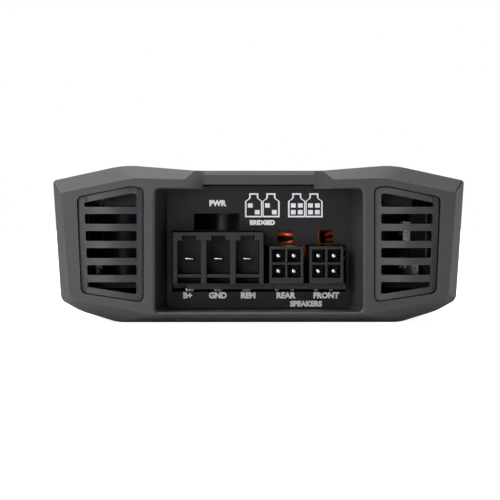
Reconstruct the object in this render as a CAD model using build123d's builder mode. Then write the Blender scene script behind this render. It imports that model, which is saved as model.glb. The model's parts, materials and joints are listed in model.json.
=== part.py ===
from build123d import *
from math import radians, tan
import os

# A compact four-channel car amplifier. Length runs along Y, with the power and speaker end at -Y
# and the signal input end at +Y. The origin is the middle of the underside. Millimetres, +Z up.

# ---- overall sizes
width = 110.6
length = 190.0
headroom = 24.1            # clear height from the main board to the shell's ceiling

# ---- outline of the two end frames
crown_half = 17.0          # half of the flat middle of the top
crown_drop = 1.3           # the flat middle is this far below the two ridges
ridge_inset = 19.3         # ridge, in from the side
shoulder_drop = 4.0        # top corner, below the ridge
side_lean = 2.1            # how far the side leans in towards the bottom
heel_z = 6.0               # bottom corner of the side
slope_inset = 7.3          # middle of the lower slope, in from the side
slope_z = 3.1
base_margin = 10.2         # edge of the flat underside, out from the recess
frame_depth = 20.0
frame_wall = 2.2
front_wall = 3.0           # front plate, and the depth of the bevel round it
bevel_top = 3.3
bevel_side = 2.3
bevel_bottom = 2.3
bevel_crown = 2.5          # height of the bevel over the flat middle
bevel_step = 1.0           # crown and heel corners of the front face, in from the outline's
bevel_slope = (4.0, 1.9)   # middle of the lower slope on the front face, in and up
bevel_base = 9.0           # edge of the front face's flat bottom, in from the outline's
ridge_extra = 0.2          # ridge's corner, before it is rounded
outline_radii = (20, 25, 1.0, 2.5, 12, 12)
front_radii = (20, 20, 0.6, 1.5, 12, 12)

# ---- recess with the connectors
recess_half = 27.8
recess_floor = 2.9
recess_ceiling_drop = 6.2  # recess ceiling, below the ridge
recess_depth = 16.0
recess_straight = 6.0      # straight part of the recess, before its sides close in
recess_close = 2.9         # how far each side closes in
recess_wall = 2.0
recess_corner = 1.2
mouth_round = 0.8          # rounding of the recess's mouth
notch_half = 20.0
notch_depth = 5.0
notch_ceiling_drop = 5.0
notch_bevel = 1.5          # bevel above the notch's rear wall
panel_thick = 2.0
panel_seat = 2.5           # how far the panel reaches past the recess's sides

# ---- vent grilles
vent_land = 3.4            # front face between the recess and a vent
vent_outer = 6.8           # vent's outer edge, in from the side
vent_top_drop = 5.8        # vent's highest corner, below the ridge
vent_fall = 2.8            # how far the vent's top falls outwards
vent_heel = 5.7
vent_rise = 2.5            # how far the vent's bottom rises outwards
vent_gap = 0.35
vent_rim = 1.6
vent_flange = 1.1
vent_flange_thick = 1.2
vent_slots = 6
vent_bar = 1.85
vent_set_back = 1.0        # grille's edges, behind the front face
vent_crown = 0.9           # how far the grille bulges in its middle
vent_peak = (3.3, 0.3)     # vent's highest corner, out and up from its inner top corner
vent_lean = 1.1            # how far the vent's outer edge leans in towards the bottom
vent_radii = (1.2, 2.0, 1.4, 1.4, 1.2)
vent_slot_round = 0.5

# ---- heatsink shell and base plate
shell_inset = 0.6
ceiling_drop = 7.9         # shell's ceiling, below the ridge
wall_inset = 6.8           # shell's inner side wall, in from the side
fin_floor_drop = 4.9
fin_first = 21.0
fin_pitch = 4.5
fin_slot = 2.4
fin_rows = 7
side_slot_depth = 2.4
side_slot_pitch = 6.5
side_slot_rows = 4
side_slot_first = 11.0
ledge_reach = 5.0          # board ledge, out from the inner wall
ledge_thick = 3.0
lip_reach = 4.0
lip_thick = 2.4
base_thick = 2.0
slide_gap = 0.3            # between a fitted piece and its seat
tongue_length = 6.0
tongue_half = 30.0
hook_length = 5.0
hook_thick = 2.6
hook_width = 11.0
tongue_thick = 2.9
hook_root = 3.0            # hook's root inside the frame

# ---- screws
base_screw_r = 1.5
base_screw_head_r = 2.8
base_screw_length = 4.2
base_screw_rows = 3
mount_spacing_x = 60.0
mount_spacing_y = 130.0
mount_hole_r = 2.0
nut_r = 4.0
nut_height = 3.2
machine_screw_r = 1.25
machine_head_r = 2.5
machine_head_height = 1.6
drive_r = 0.9
drive_depth = 0.9
countersink_share = 0.7    # countersunk head, as a share of the base plate
thread_clearance = 0.6     # board screws' ends, above the underside of the ledge
lip_screw_back = 12.0      # outer base screws, in from the shell's ends
board_screw_back = 8.0
tongue_screw_x = 20.0

# ---- boards
board_top = 10.1
board_thick = 1.6
board_gap = 0.6
board_end_gap = 1.0
tongue_reach = 8.0         # main board's tongue, forward of its edge
tongue_inset = 4.0         # tongue's left edge, in from the panel's opening
control_thick = 1.6

# ---- connectors of the power end
header_reach = 7.0         # headers' fronts, forward of the panel's front
header_gap = 0.25
power_pitch = 7.92
power_poles = 3
power_centre = -10.9
power_cavity = 6.4
power_body = 24.6
power_body_height = 14.0
power_cavity_top = 0.9     # wall above the cavities
power_depth = 18.0
power_cavity_depth = 14.0
power_shelf_z = 1.7        # shelf in each cavity, above the housing's underside
power_shelf_thick = 0.9
power_shelf_back = 0.6
power_tab = 1.3
blade_width = 2.3
blade_thick = 0.8
blade_z = 6.7              # above the board
blade_reach = 8.0          # blade in its cavity
speaker_pitch = 4.2
speaker_centres = (7.6, 18.5)
speaker_body = 9.3
speaker_body_height = 10.2
speaker_cavity = 3.5
speaker_first_z = 3.4      # lower pins, above the board
speaker_depth = 16.0
speaker_cavity_depth = 12.0
pin_side = 1.0
pin_reach = 9.0
leg_back = 2.0             # legs' plane, behind a housing
leg_below = 2.2            # legs' ends, below the board
latch_half = 6.2
latch_centre = -11.3
latch_height = 4.5
latch_above = 0.5          # latch window, above its housing
small_latch_half = 2.1
small_latch_height = 3.5
board_opening_below = 0.8  # panel's opening, below the board
panel_rest = 0.1           # panel and housings, clear of what they stand over
opening_margin = 1.0       # panel's opening, past the last speaker header
blade_bevel = 0.24
row_stagger = 0.7          # upper pins' legs, behind the lower ones, in pitches

# ---- power parts on the board
choke_r = 10.0
choke_hole_r = 5.2
choke_thick = 8.0
choke_x = 15.4
choke_back = 3.0           # choke, behind the power header's legs
transformer_r = 17.5
transformer_hole_r = 8.0
transformer_thick = 13.0
winding_thick = 1.4
winding_turns = 26
winding_gap = 14.0         # degrees without turns, each side of the start
inductor_r = 6.4
inductor_hole_r = 3.0
inductor_thick = 6.0
inductor_winding = 0.9
inductor_turns = 16
core_gap = 0.3
wire_flat = 0.7            # width of the gap between turns, as a share of the wire
coil_gap = 6.0             # between the choke and the transformer
inductor_gap = 5.0         # between the transformer and the inductors
inductor_spacing = 2.0
supply_gap = 6.9           # between the choke and the nearest capacitor
far_can_gap = 1.0          # between the choke and the capacitor on its far side
can_gap = 1.5
rail_gap = 4.0
rail_spacing = 3.0
can_round = 0.8
can_groove = (2.0, 0.9, 0.6)  # groove round a capacitor: above the board, high, deep
film_gap = 3.0
film_spacing = 3.0
film_round = 0.8
chip_size = (9.0, 6.0, 1.8)
chip_pitch = 16.0
chip_gap = 4.0
chip_bevel = 0.3
package_bevel = 0.5
capacitor_r = 6.25
capacitor_height = 22.5
rail_capacitor_r = 5.0
rail_capacitor_height = 20.0
film_size = (11.0, 5.0, 9.0)
package = (4.5, 10.0, 15.2)  # transistor body: out of the wall, along it, up
package_z = 15.5
pad_thick = 0.4
pad_margin = 0.2           # pad, past its transistor
clamp_thick = 2.0
clamp_height = 7.0
lead_side = 0.8
lead_pitch = 2.54
clamp_screw_bite = 1.6     # clamp screws, into the shell's wall
output_count = 8
supply_count = 6
package_pitch = 13.0

# ---- parts of the input end
rca_pitch = 13.0
rca_rise = 12.6            # upper jacks, above the lower ones
rca_column = 5.0           # nearer jack column
rca_row = 5.5              # lower jacks, above the board
rca_block_depth = 11.0
rca_margin = 5.6           # block's edges, from the outer jacks' axes
rca_shield_r = 4.15
rca_shield_wall = 0.75
rca_shield_length = 10.0
rca_contact_r = 1.6
rca_contact_wall = 0.4
rca_plate = 2.4            # block's front wall, behind the panel
rca_stem_r = 3.9           # shield's stem through the panel
rca_stem_gap = 0.3         # shield's shoulder, in front of the panel
rca_hole_gap = 0.2
rca_insulator_back = 1.0   # insulator's front, behind the shield's
rca_contact_back = 2.0     # contact's front, behind the shield's
rca_contact_floor = 1.0
pot_columns = (-7.0, -18.0)
gain_row = 18.1            # rows above the board
crossover_row = 9.2
switch_row = 2.6
switch_columns = (-4.9, -20.5, -12.7)
pot_body = 8.0
pot_body_depth = 4.6
adjuster_r = 3.0
adjuster_length = 5.4
adjuster_slot = 0.9
adjuster_slot_depth = 1.0
adjuster_gap = 0.35
adjuster_bore_gap = 0.05
adjuster_pin_r = 1.2
adjuster_pin_length = 2.6
pot_floor = 0.5            # pot body, behind the adjuster's pin
adjuster_slot_reach = 1.5  # slot's upper end, as a pointer, above the middle
switch_body = (7.4, 3.6, 4.0)
slider_width = 2.0
slider_height = 1.8
slider_travel = 1.5        # each way from the middle
slider_reach = 1.0         # out of the panel's front
slider_shoe = (2.6, 1.2, 2.6)
slider_floor = 1.2         # switch body, behind the shoe
slider_bevel = 0.3
control_gap = 1.0          # pot bodies, behind the panel
control_lift = 0.2         # control board, above the main board
control_margin = 1.1       # control board, past the parts on it
lamp_r = 1.2

# ---- worked out from the sizes above
half_width = width / 2
half_length = length / 2
height = board_top + headroom + ceiling_drop
ridge_x = half_width - ridge_inset
base_half = recess_half + base_margin
front_y = -half_length
shell_front = front_y + frame_depth
shell_length = length - 2 * frame_depth
panel_front = front_y + recess_depth
panel_back = panel_front + panel_thick
seat_half = recess_half - recess_close + panel_seat
recess_ceiling = height - recess_ceiling_drop
notch_ceiling = height - notch_ceiling_drop
shell_ceiling = height - ceiling_drop
inner_wall = half_width - wall_inset
vent_in = recess_half + vent_land
vent_out = half_width - vent_outer
vent_top = height - vent_top_drop
board_bottom = board_top - board_thick
board_end = -shell_front - board_end_gap
header_front = panel_front - header_reach
power_back = header_front + power_depth
speaker_back = header_front + speaker_depth
open_x = (
    power_centre - power_body / 2 - header_gap,
    speaker_centres[1] + speaker_body / 2 + opening_margin,
)
winding_open = tan(radians(winding_gap))   # half of a winding's open sector, as a slope
through = 1.0              # how far a cut runs past the faces it opens
standing = (Align.CENTER, Align.CENTER, Align.MIN)


def section(y):
    """Plane across the length at y, with local x along +X and local y along +Z."""
    return Plane.XZ.offset(-y)


def span(middle, size):
    """Low and high value of a length centred on a middle."""
    return (middle - size / 2, middle + size / 2)


def block(x, y, z, mode=Mode.ADD):
    """Box between a low and a high value along each axis."""
    with Locations(((x[0] + x[1]) / 2, (y[0] + y[1]) / 2, (z[0] + z[1]) / 2)):
        Box(x[1] - x[0], y[1] - y[0], z[1] - z[0], mode=mode)


def symmetric_face(plane, points, radii):
    """Closed face from the right-hand points, clockwise from the top, mirrored to the left."""
    left = [(-x, z) for x, z in reversed(points)]
    with BuildSketch(plane) as face:
        with BuildLine():
            FilletPolyline(*points, *left, radius=[*radii, *reversed(radii)], close=True)
        make_face()
    return face.sketch


def outer_outline(y):
    """Outside of the amplifier, at its full size."""
    points = [
        (crown_half, height - crown_drop),
        (ridge_x, height + ridge_extra),
        (half_width, height - shoulder_drop),
        (half_width - side_lean, heel_z),
        (half_width - slope_inset, slope_z),
        (base_half, 0),
    ]
    return symmetric_face(section(y), points, outline_radii)


def front_outline(y):
    """Front face, inside the bevel."""
    points = [
        (crown_half - bevel_step, height - crown_drop - bevel_crown),
        (ridge_x - bevel_side, height - bevel_top),
        (half_width - bevel_side, height - shoulder_drop - bevel_top),
        (half_width - side_lean - bevel_side, heel_z + bevel_step),
        (half_width - slope_inset - bevel_slope[0], slope_z + bevel_slope[1]),
        (base_half - bevel_base, bevel_bottom),
    ]
    return symmetric_face(section(y), points, front_radii)


def inner_outline(y, inset):
    """The outside outline moved inwards."""
    with BuildSketch(section(y)) as face:
        add(outer_outline(y))
        offset(amount=-inset, kind=Kind.INTERSECTION)
    return face.sketch


def vent_outline(y, grow):
    """Right-hand vent grille, grown by a gap or a flange."""
    with BuildSketch(section(y)) as face:
        with BuildLine():
            FilletPolyline(
                (vent_in, vent_top - vent_peak[1]),
                (vent_in + vent_peak[0], vent_top),
                (vent_out, vent_top - vent_fall),
                (vent_out - vent_lean, vent_heel + vent_rise),
                (vent_in, vent_heel),
                radius=vent_radii,
                close=True,
            )
        make_face()
        if grow:
            offset(amount=grow)
    return face.sketch


def recess_face(y, half):
    """Section of the recess, with rounded corners."""
    with BuildSketch(section(y)) as face:
        with Locations((0, (recess_floor + recess_ceiling) / 2)):
            RectangleRounded(2 * half, recess_ceiling - recess_floor, recess_corner)
    return face.sketch


def drive_socket(x, y, z, depth):
    """Square drive socket cut down from z, or up from it where the depth is negative."""
    block(span(x, 2 * drive_r), span(y, 2 * drive_r), sorted((z, z - depth)), Mode.SUBTRACT)


def toroid_core(plane, outer, hole, thick):
    """Ring core, centred on the plane."""
    with BuildPart() as ring:
        with BuildSketch(plane.offset(-thick / 2)):
            Circle(outer)
            Circle(hole, mode=Mode.SUBTRACT)
        extrude(amount=thick)
    return ring.part


def toroid_winding(plane, outer, hole, thick, wire, turns):
    """Turns round a ring core, left open over a few degrees so that the core shows."""
    reach = outer + core_gap + wire
    with BuildPart() as winding:
        with BuildSketch(plane.offset(-thick / 2 - core_gap - wire)):
            Circle(reach)
            Circle(hole - core_gap - wire, mode=Mode.SUBTRACT)
        extrude(amount=thick + 2 * core_gap + 2 * wire)
        with BuildSketch(plane.offset(-thick / 2 - core_gap)):
            Circle(outer + core_gap)
            Circle(hole - core_gap, mode=Mode.SUBTRACT)
        extrude(amount=thick + 2 * core_gap, mode=Mode.SUBTRACT)
        open_half = 2 * reach * winding_open
        with BuildSketch(plane.offset(-thick)):
            Polygon((0, 0), (2 * reach, -open_half), (2 * reach, open_half))
        extrude(amount=2 * thick, mode=Mode.SUBTRACT)
        with BuildSketch(plane.offset(-thick)):
            with PolarLocations(reach, turns, start_angle=winding_gap + 180 / turns):
                Rectangle(wire, wire * wire_flat)
        extrude(amount=2 * thick, mode=Mode.SUBTRACT)
    return winding.part


# ================================================= housing

# rows of screws: base plate to shell lips, base plate to frame tongues, board to shell ledges
lip_screw_x = base_half - lip_reach / 2
lip_screw_y = -shell_front - lip_screw_back
tongue_screw_y = -shell_front - tongue_length / 2
base_screw_places = [
    (side * lip_screw_x, lip_screw_y * (2 * row / (base_screw_rows - 1) - 1))
    for side in (-1, 1)
    for row in range(base_screw_rows)
]
base_screw_places += [
    (side * tongue_screw_x, end * tongue_screw_y) for side in (-1, 1) for end in (-1, 1)
]
board_screw_x = inner_wall - ledge_reach / 2
board_screw_y = -shell_front - board_screw_back
board_screw_places = [
    (side * board_screw_x, end * board_screw_y) for side in (-1, 1) for end in (-1, 0, 1)
]
mount_places = [
    (side * mount_spacing_x / 2, end * mount_spacing_y / 2) for side in (-1, 1) for end in (-1, 1)
]

with BuildPart() as base_screws:
    with Locations(*[(x, y, 0) for x, y in base_screw_places]):
        Cylinder(base_screw_r, base_screw_length, align=standing)
        Cone(base_screw_head_r, base_screw_r, base_thick * countersink_share, align=standing)
    for x, y in base_screw_places:
        drive_socket(x, y, 0, -drive_depth)

with BuildPart() as board_screws:
    thread_end = board_bottom - ledge_thick + thread_clearance
    with Locations(*[(x, y, thread_end) for x, y in board_screw_places]):
        Cylinder(machine_screw_r, board_top - thread_end, align=standing)
    with Locations(*[(x, y, board_top) for x, y in board_screw_places]):
        Cylinder(machine_head_r, machine_head_height, align=standing)
    for x, y in board_screw_places:
        drive_socket(x, y, board_top + machine_head_height, drive_depth)

with BuildPart() as base_plate:
    block(span(0, 2 * (base_half - slide_gap)), span(0, shell_length - 2 * slide_gap), (0, base_thick))
    with Locations(*[(x, y, 0) for x, y in mount_places]):
        Hole(mount_hole_r)
    add(base_screws.part, mode=Mode.SUBTRACT)
    for x, y in base_screw_places:
        drive_socket(x, y, 0, -drive_depth)

with BuildPart() as mounting_nuts:
    with BuildSketch(Plane.XY.offset(base_thick)):
        with Locations(*mount_places):
            RegularPolygon(nut_r, 6)
            Circle(mount_hole_r, mode=Mode.SUBTRACT)
    extrude(amount=nut_height)

with BuildPart() as power_end_frame:
    loft([front_outline(front_y), outer_outline(front_y + front_wall)], ruled=True)
    extrude(outer_outline(shell_front), amount=frame_depth - front_wall)
    # the hollow each side of the recess, open to the rear
    with BuildSketch(section(shell_front)):
        add(inner_outline(shell_front, frame_wall))
        Rectangle(2 * (recess_half + recess_wall), 3 * height, mode=Mode.SUBTRACT)
    extrude(amount=frame_depth - front_wall, mode=Mode.SUBTRACT)
    # the recess runs straight back, and then its sides close in
    straight_end = front_y + recess_straight
    extrude(recess_face(straight_end, recess_half), amount=recess_straight + through, mode=Mode.SUBTRACT)
    loft(
        [recess_face(straight_end, recess_half), recess_face(panel_front, recess_half - recess_close)],
        mode=Mode.SUBTRACT,
    )
    # notch in the top rail, narrowing to the rear, with a bevel above its rear wall
    notch_rear = notch_half - notch_depth
    notch_y = front_y + notch_depth
    recess_middle = (recess_floor + recess_ceiling) / 2
    with BuildSketch(Plane.XY.offset(recess_middle)):
        Polygon(
            (-notch_half - through, front_y - through),
            (notch_half + through, front_y - through),
            (notch_rear, notch_y),
            (-notch_rear, notch_y),
        )
    extrude(amount=height, mode=Mode.SUBTRACT)
    crown_z = height - crown_drop
    bevel_reach = 2 * notch_bevel
    with BuildSketch(Plane.YZ.offset(-notch_rear)):
        Polygon(
            (notch_y - through, crown_z - notch_bevel - through),
            (notch_y + bevel_reach, crown_z + bevel_reach),
            (notch_y - through, crown_z + bevel_reach),
        )
    extrude(amount=2 * notch_rear, mode=Mode.SUBTRACT)
    block(
        span(0, 2 * notch_rear),
        (front_y + through, shell_front + through),
        (recess_middle, notch_ceiling),
        Mode.SUBTRACT,
    )
    # rounded mouth
    near = 0.01
    at_front = power_end_frame.edges().filter_by_position(Axis.Y, front_y - near, front_y + near)
    mouth = at_front.filter_by_position(Axis.X, -recess_half - near, recess_half + near)
    fillet(mouth.filter_by_position(Axis.Z, recess_floor + near, recess_ceiling + near), mouth_round)
    # seat of the panel, open to the rear
    block(
        span(0, 2 * seat_half),
        (panel_front, shell_front + through),
        (recess_floor, notch_ceiling),
        Mode.SUBTRACT,
    )
    # vent windows
    for about in (1, -1):
        window = vent_outline(front_y + front_wall + through, vent_gap)
        if about < 0:
            window = mirror(window, about=Plane.YZ, mode=Mode.PRIVATE)
        extrude(window, amount=front_wall + 2 * through, dir=(0, -1, 0), mode=Mode.SUBTRACT)
    # tongue over the base plate, and hooks under the shell's ceiling
    block(
        span(0, 2 * tongue_half),
        (shell_front - through, shell_front + tongue_length),
        (base_thick, base_thick + tongue_thick),
    )
    hook_top = shell_ceiling - slide_gap
    for side in (-1, 1):
        hook_x = sorted((side * vent_in, side * (vent_in + hook_width)))
        block(hook_x, (shell_front - hook_root, shell_front), (hook_top - hook_thick, height - hook_root))
        hook_y = (shell_front - hook_root, shell_front + hook_length)
        block(hook_x, hook_y, (hook_top - hook_thick, hook_top))
    add(base_screws.part, mode=Mode.SUBTRACT)

with BuildPart() as input_end_frame:
    mirror(power_end_frame.part, about=Plane.XZ)

with BuildPart() as power_right_grille:
    grille_front = front_y + vent_set_back
    grille_back = front_y + front_wall
    extrude(vent_outline(grille_back, 0), amount=front_wall + through)
    # the front bulges a little between its two edges
    with BuildSketch(Plane.XY):
        with BuildLine():
            ThreePointArc(
                (vent_in, grille_front),
                ((vent_in + vent_out) / 2, grille_front - vent_crown),
                (vent_out, grille_front),
            )
            Polyline(
                (vent_out, grille_front),
                (vent_out, grille_back),
                (vent_in, grille_back),
                (vent_in, grille_front),
            )
        make_face()
    extrude(amount=height, mode=Mode.INTERSECT)
    extrude(vent_outline(grille_back + vent_flange_thick, vent_flange), amount=vent_flange_thick)
    field_low = vent_heel + vent_rim
    slot_pitch = (vent_top - vent_rim - field_low) / vent_slots
    for slot in range(vent_slots):
        slot_low = field_low + slot * slot_pitch + vent_bar / 2
        slot_high = slot_low + slot_pitch - vent_bar
        if slot == 0:
            slot_low = field_low - vent_rim
        if slot == vent_slots - 1:
            slot_high = vent_top
        with BuildSketch(section(grille_back + vent_flange_thick)):
            add(vent_outline(grille_back + vent_flange_thick, -vent_rim))
            with Locations((half_width / 2, (slot_low + slot_high) / 2)):
                Rectangle(width, slot_high - slot_low, mode=Mode.INTERSECT)
            offset(amount=-vent_slot_round)
            offset(amount=vent_slot_round)
        extrude(amount=front_wall + vent_flange_thick + through, mode=Mode.SUBTRACT)

with BuildPart() as power_left_grille:
    mirror(power_right_grille.part, about=Plane.YZ)

with BuildPart() as input_right_grille:
    mirror(power_right_grille.part, about=Plane.XZ)

with BuildPart() as input_left_grille:
    mirror(power_left_grille.part, about=Plane.XZ)

# ================================================= main board and the power end's connectors

with BuildPart() as power_header:
    body_x = span(power_centre, power_body)
    power_top = board_top + power_body_height
    block(body_x, (header_front, power_back), (board_top, power_top))
    blade_at = board_top + blade_z
    power_columns = [
        power_centre + (pole - (power_poles - 1) / 2) * power_pitch for pole in range(power_poles)
    ]
    cavity_end = header_front + power_cavity_depth
    cavity_top = power_top - power_cavity_top
    shelf_z = board_top + power_shelf_z
    for x in power_columns:
        block(
            span(x, power_cavity),
            (header_front - through, cavity_end),
            (board_top + panel_rest, cavity_top),
            Mode.SUBTRACT,
        )
        block(
            span(x, power_cavity),
            (header_front + power_shelf_back, cavity_end),
            (shelf_z, shelf_z + power_shelf_thick),
        )
        for side in (-1, 1):
            corner = x + side * power_cavity / 2
            block(
                sorted((corner, corner - side * power_tab)),
                (header_front, cavity_end),
                (cavity_top - power_tab, cavity_top),
            )
        # the blade's way through the rear wall
        block(
            span(x, blade_width),
            (cavity_end - through, power_back + through),
            span(blade_at, blade_thick),
            Mode.SUBTRACT,
        )

with BuildPart() as power_header_blades:
    leg_y = power_back + leg_back
    for x in power_columns:
        block(span(x, blade_width), (cavity_end - blade_reach, leg_y), span(blade_at, blade_thick))
        block(span(x, blade_width), (leg_y - blade_thick, leg_y), (board_bottom - leg_below, blade_at))
    tips = power_header_blades.edges().filter_by(Axis.X).group_by(Axis.Y)[0]
    chamfer(tips, blade_bevel)


def speaker_columns(centre):
    """The two pin columns of a speaker header."""
    return [centre + side * speaker_pitch / 2 for side in (-1, 1)]


def speaker_rows():
    """The two pin rows, low one first."""
    return [board_top + speaker_first_z + row * speaker_pitch for row in (0, 1)]


def speaker_housing(centre):
    """2x2 housing with a square cavity round each pin."""
    with BuildPart() as housing:
        block(
            span(centre, speaker_body),
            (header_front, speaker_back),
            (board_top, board_top + speaker_body_height),
        )
        cavity_y = (header_front - through, header_front + speaker_cavity_depth)
        for x in speaker_columns(centre):
            for z in speaker_rows():
                block(span(x, speaker_cavity), cavity_y, span(z, speaker_cavity), Mode.SUBTRACT)
                block(
                    span(x, pin_side),
                    (header_front, speaker_back + through),
                    span(z, pin_side),
                    Mode.SUBTRACT,
                )
    return housing.part


def speaker_pins(centre):
    """Four bent pins: the upper row bends down behind the lower one."""
    tip = header_front + speaker_cavity_depth - pin_reach
    with BuildPart() as pins:
        for x in speaker_columns(centre):
            for row, z in enumerate(speaker_rows()):
                leg = speaker_back + leg_back + row * speaker_pitch * row_stagger
                block(span(x, pin_side), (tip, leg), span(z, pin_side))
                block(span(x, pin_side), (leg - pin_side, leg), (board_bottom - leg_below, z))
    return pins.part


with BuildPart() as rear_speaker_header:
    add(speaker_housing(speaker_centres[0]))

with BuildPart() as rear_speaker_pins:
    add(speaker_pins(speaker_centres[0]))

with BuildPart() as front_speaker_header:
    add(speaker_housing(speaker_centres[1]))

with BuildPart() as front_speaker_pins:
    add(speaker_pins(speaker_centres[1]))

with BuildPart() as power_end_panel:
    block(
        span(0, 2 * (seat_half - slide_gap)),
        (panel_front, panel_back),
        (recess_floor + panel_rest, notch_ceiling - slide_gap),
    )
    cut_y = (panel_front - through, panel_back + through)
    open_low = board_bottom - board_opening_below
    power_right = body_x[1] + header_gap
    speaker_top = board_top + speaker_body_height
    block((open_x[0], power_right), cut_y, (open_low, power_top + header_gap), Mode.SUBTRACT)
    block((power_right - through, open_x[1]), cut_y, (open_low, speaker_top + header_gap), Mode.SUBTRACT)
    latch_low = power_top + latch_above
    block(span(latch_centre, 2 * latch_half), cut_y, (latch_low, latch_low + latch_height), Mode.SUBTRACT)
    small_low = speaker_top + header_gap + latch_above
    for centre in speaker_centres:
        block(
            span(centre, 2 * small_latch_half),
            cut_y,
            (small_low, small_low + small_latch_height),
            Mode.SUBTRACT,
        )

# ================================================= power parts

choke_y = power_back + leg_back + choke_back + choke_thick / 2
choke_z = board_top + choke_r + core_gap + winding_thick + panel_rest
choke_plane = Plane((choke_x, choke_y, choke_z), x_dir=(0, 0, 1), z_dir=(0, 1, 0))
transformer_z = board_top + transformer_thick / 2 + core_gap + winding_thick + panel_rest
transformer_y = choke_y + choke_thick / 2 + transformer_r + coil_gap
transformer_plane = Plane((0, transformer_y, transformer_z), x_dir=(0, 1, 0), z_dir=(0, 0, 1))
wall_row = inner_wall - pad_thick - package[0]     # inner faces of the transistors
inductor_y = transformer_y + transformer_r + inductor_r + inductor_gap
inductor_pitch = 2 * (inductor_r + inductor_winding) + inductor_spacing
inductor_z = board_top + inductor_thick / 2 + core_gap + inductor_winding + panel_rest
inductor_planes = [
    Plane(((column - 1.5) * inductor_pitch, inductor_y, inductor_z), x_dir=(0, 1, 0), z_dir=(0, 0, 1))
    for column in range(4)
]

with BuildPart() as input_choke_core:
    add(toroid_core(choke_plane, choke_r, choke_hole_r, choke_thick))

with BuildPart() as input_choke_winding:
    add(toroid_winding(choke_plane, choke_r, choke_hole_r, choke_thick, winding_thick, winding_turns))

with BuildPart() as transformer_core:
    add(toroid_core(transformer_plane, transformer_r, transformer_hole_r, transformer_thick))

with BuildPart() as transformer_winding:
    transformer_sizes = (transformer_r, transformer_hole_r, transformer_thick)
    add(toroid_winding(transformer_plane, *transformer_sizes, winding_thick, 2 * winding_turns))

with BuildPart() as output_inductor_cores:
    inductor_sizes = (inductor_r, inductor_hole_r, inductor_thick)
    for plane in inductor_planes:
        add(toroid_core(plane, *inductor_sizes))

with BuildPart() as output_inductor_windings:
    for plane in inductor_planes:
        add(toroid_winding(plane, *inductor_sizes, inductor_winding, inductor_turns))

supply_capacitor_x = choke_x - choke_r - winding_thick - capacitor_r - supply_gap
supply_capacitor_places = [
    (supply_capacitor_x - column * (2 * capacitor_r + can_gap), choke_y) for column in range(3)
]
supply_capacitor_places.append((choke_x + choke_r + winding_thick + far_can_gap + capacitor_r, choke_y))
rail_capacitor_y = inductor_y + inductor_r + rail_capacitor_r + rail_gap
rail_capacitor_places = [
    ((column - 1.5) * (2 * rail_capacitor_r + rail_spacing), rail_capacitor_y) for column in range(4)
]
film_y = rail_capacitor_y + rail_capacitor_r + film_size[1] / 2 + film_gap
film_places = [((column - 1.5) * (film_size[0] + film_spacing), film_y) for column in range(4)]


def cans(places, radius, rise):
    """Round capacitors standing on the board, each with a rolled top edge and a groove near its foot."""
    with BuildPart() as group:
        with Locations(*[(x, y, board_top) for x, y in places]):
            Cylinder(radius, rise, align=standing)
        fillet(group.edges().filter_by(GeomType.CIRCLE).group_by(Axis.Z)[-1], can_round)
        groove_above, groove_high, groove_deep = can_groove
        with BuildSketch(Plane.XY.offset(board_top + groove_above)):
            with Locations(*places):
                Circle(radius)
                Circle(radius - groove_deep, mode=Mode.SUBTRACT)
        extrude(amount=groove_high, mode=Mode.SUBTRACT)
    return group.part


with BuildPart() as supply_capacitors:
    add(cans(supply_capacitor_places, capacitor_r, capacitor_height))

with BuildPart() as rail_capacitors:
    add(cans(rail_capacitor_places, rail_capacitor_r, rail_capacitor_height))

with BuildPart() as film_capacitors:
    with Locations(*[(x, y, board_top) for x, y in film_places]):
        Box(*film_size, align=standing)
    fillet(film_capacitors.edges().filter_by(Axis.Z), film_round)

with BuildPart() as controller_chips:
    chip_y = film_y + film_size[1] + chip_gap
    with Locations(*[((column - 1.5) * chip_pitch, chip_y, board_top) for column in range(4)]):
        Box(*chip_size, align=standing)
    chamfer(controller_chips.faces().sort_by(Axis.Z)[-4:].edges(), chip_bevel)


def package_row(side, count):
    """Middles of a row of transistors along one wall, clear of the board screws at its middle."""
    gap = 2 * machine_head_r
    row = []
    for place in range(count):
        step = place - (count - 1) / 2
        row.append(step * package_pitch + (gap / 2 if step > 0 else -gap / 2))
    return [(side, y) for y in row]


output_row = package_row(1, output_count)
supply_row = package_row(-1, supply_count)


def packages(row):
    """Flat transistor bodies against their thermal pads."""
    with BuildPart() as group:
        for side, y in row:
            block(
                sorted((side * wall_row, side * (inner_wall - pad_thick))),
                span(y, package[1]),
                (package_z, package_z + package[2]),
            )
        chamfer(group.faces().sort_by(Axis.Z)[-len(row):].edges(), package_bevel)
    return group.part


with BuildPart() as output_transistors:
    add(packages(output_row))

with BuildPart() as supply_transistors:
    add(packages(supply_row))

with BuildPart() as transistor_leads:
    lead_x = wall_row + package[0] / 2
    for side, y in output_row + supply_row:
        for step in (-1, 0, 1):
            block(
                span(side * lead_x, lead_side),
                span(y + step * lead_pitch, lead_side),
                (board_bottom, package_z),
            )

with BuildPart() as transistor_pads:
    for side, y in output_row + supply_row:
        block(
            sorted((side * (inner_wall - pad_thick), side * inner_wall)),
            span(y, package[1] + 2 * pad_margin),
            span(package_z + package[2] / 2, package[2] + 2 * pad_margin),
        )

clamp_z = package_z + package[2] / 2
clamp_reach = (output_count * package_pitch + 2 * machine_head_r) / 2
clamp_screw_places = [
    (side, end * (row * package_pitch + machine_head_r))
    for side, rows in ((1, (1, 3)), (-1, (1, 2)))
    for end in (-1, 1)
    for row in rows
]

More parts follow.
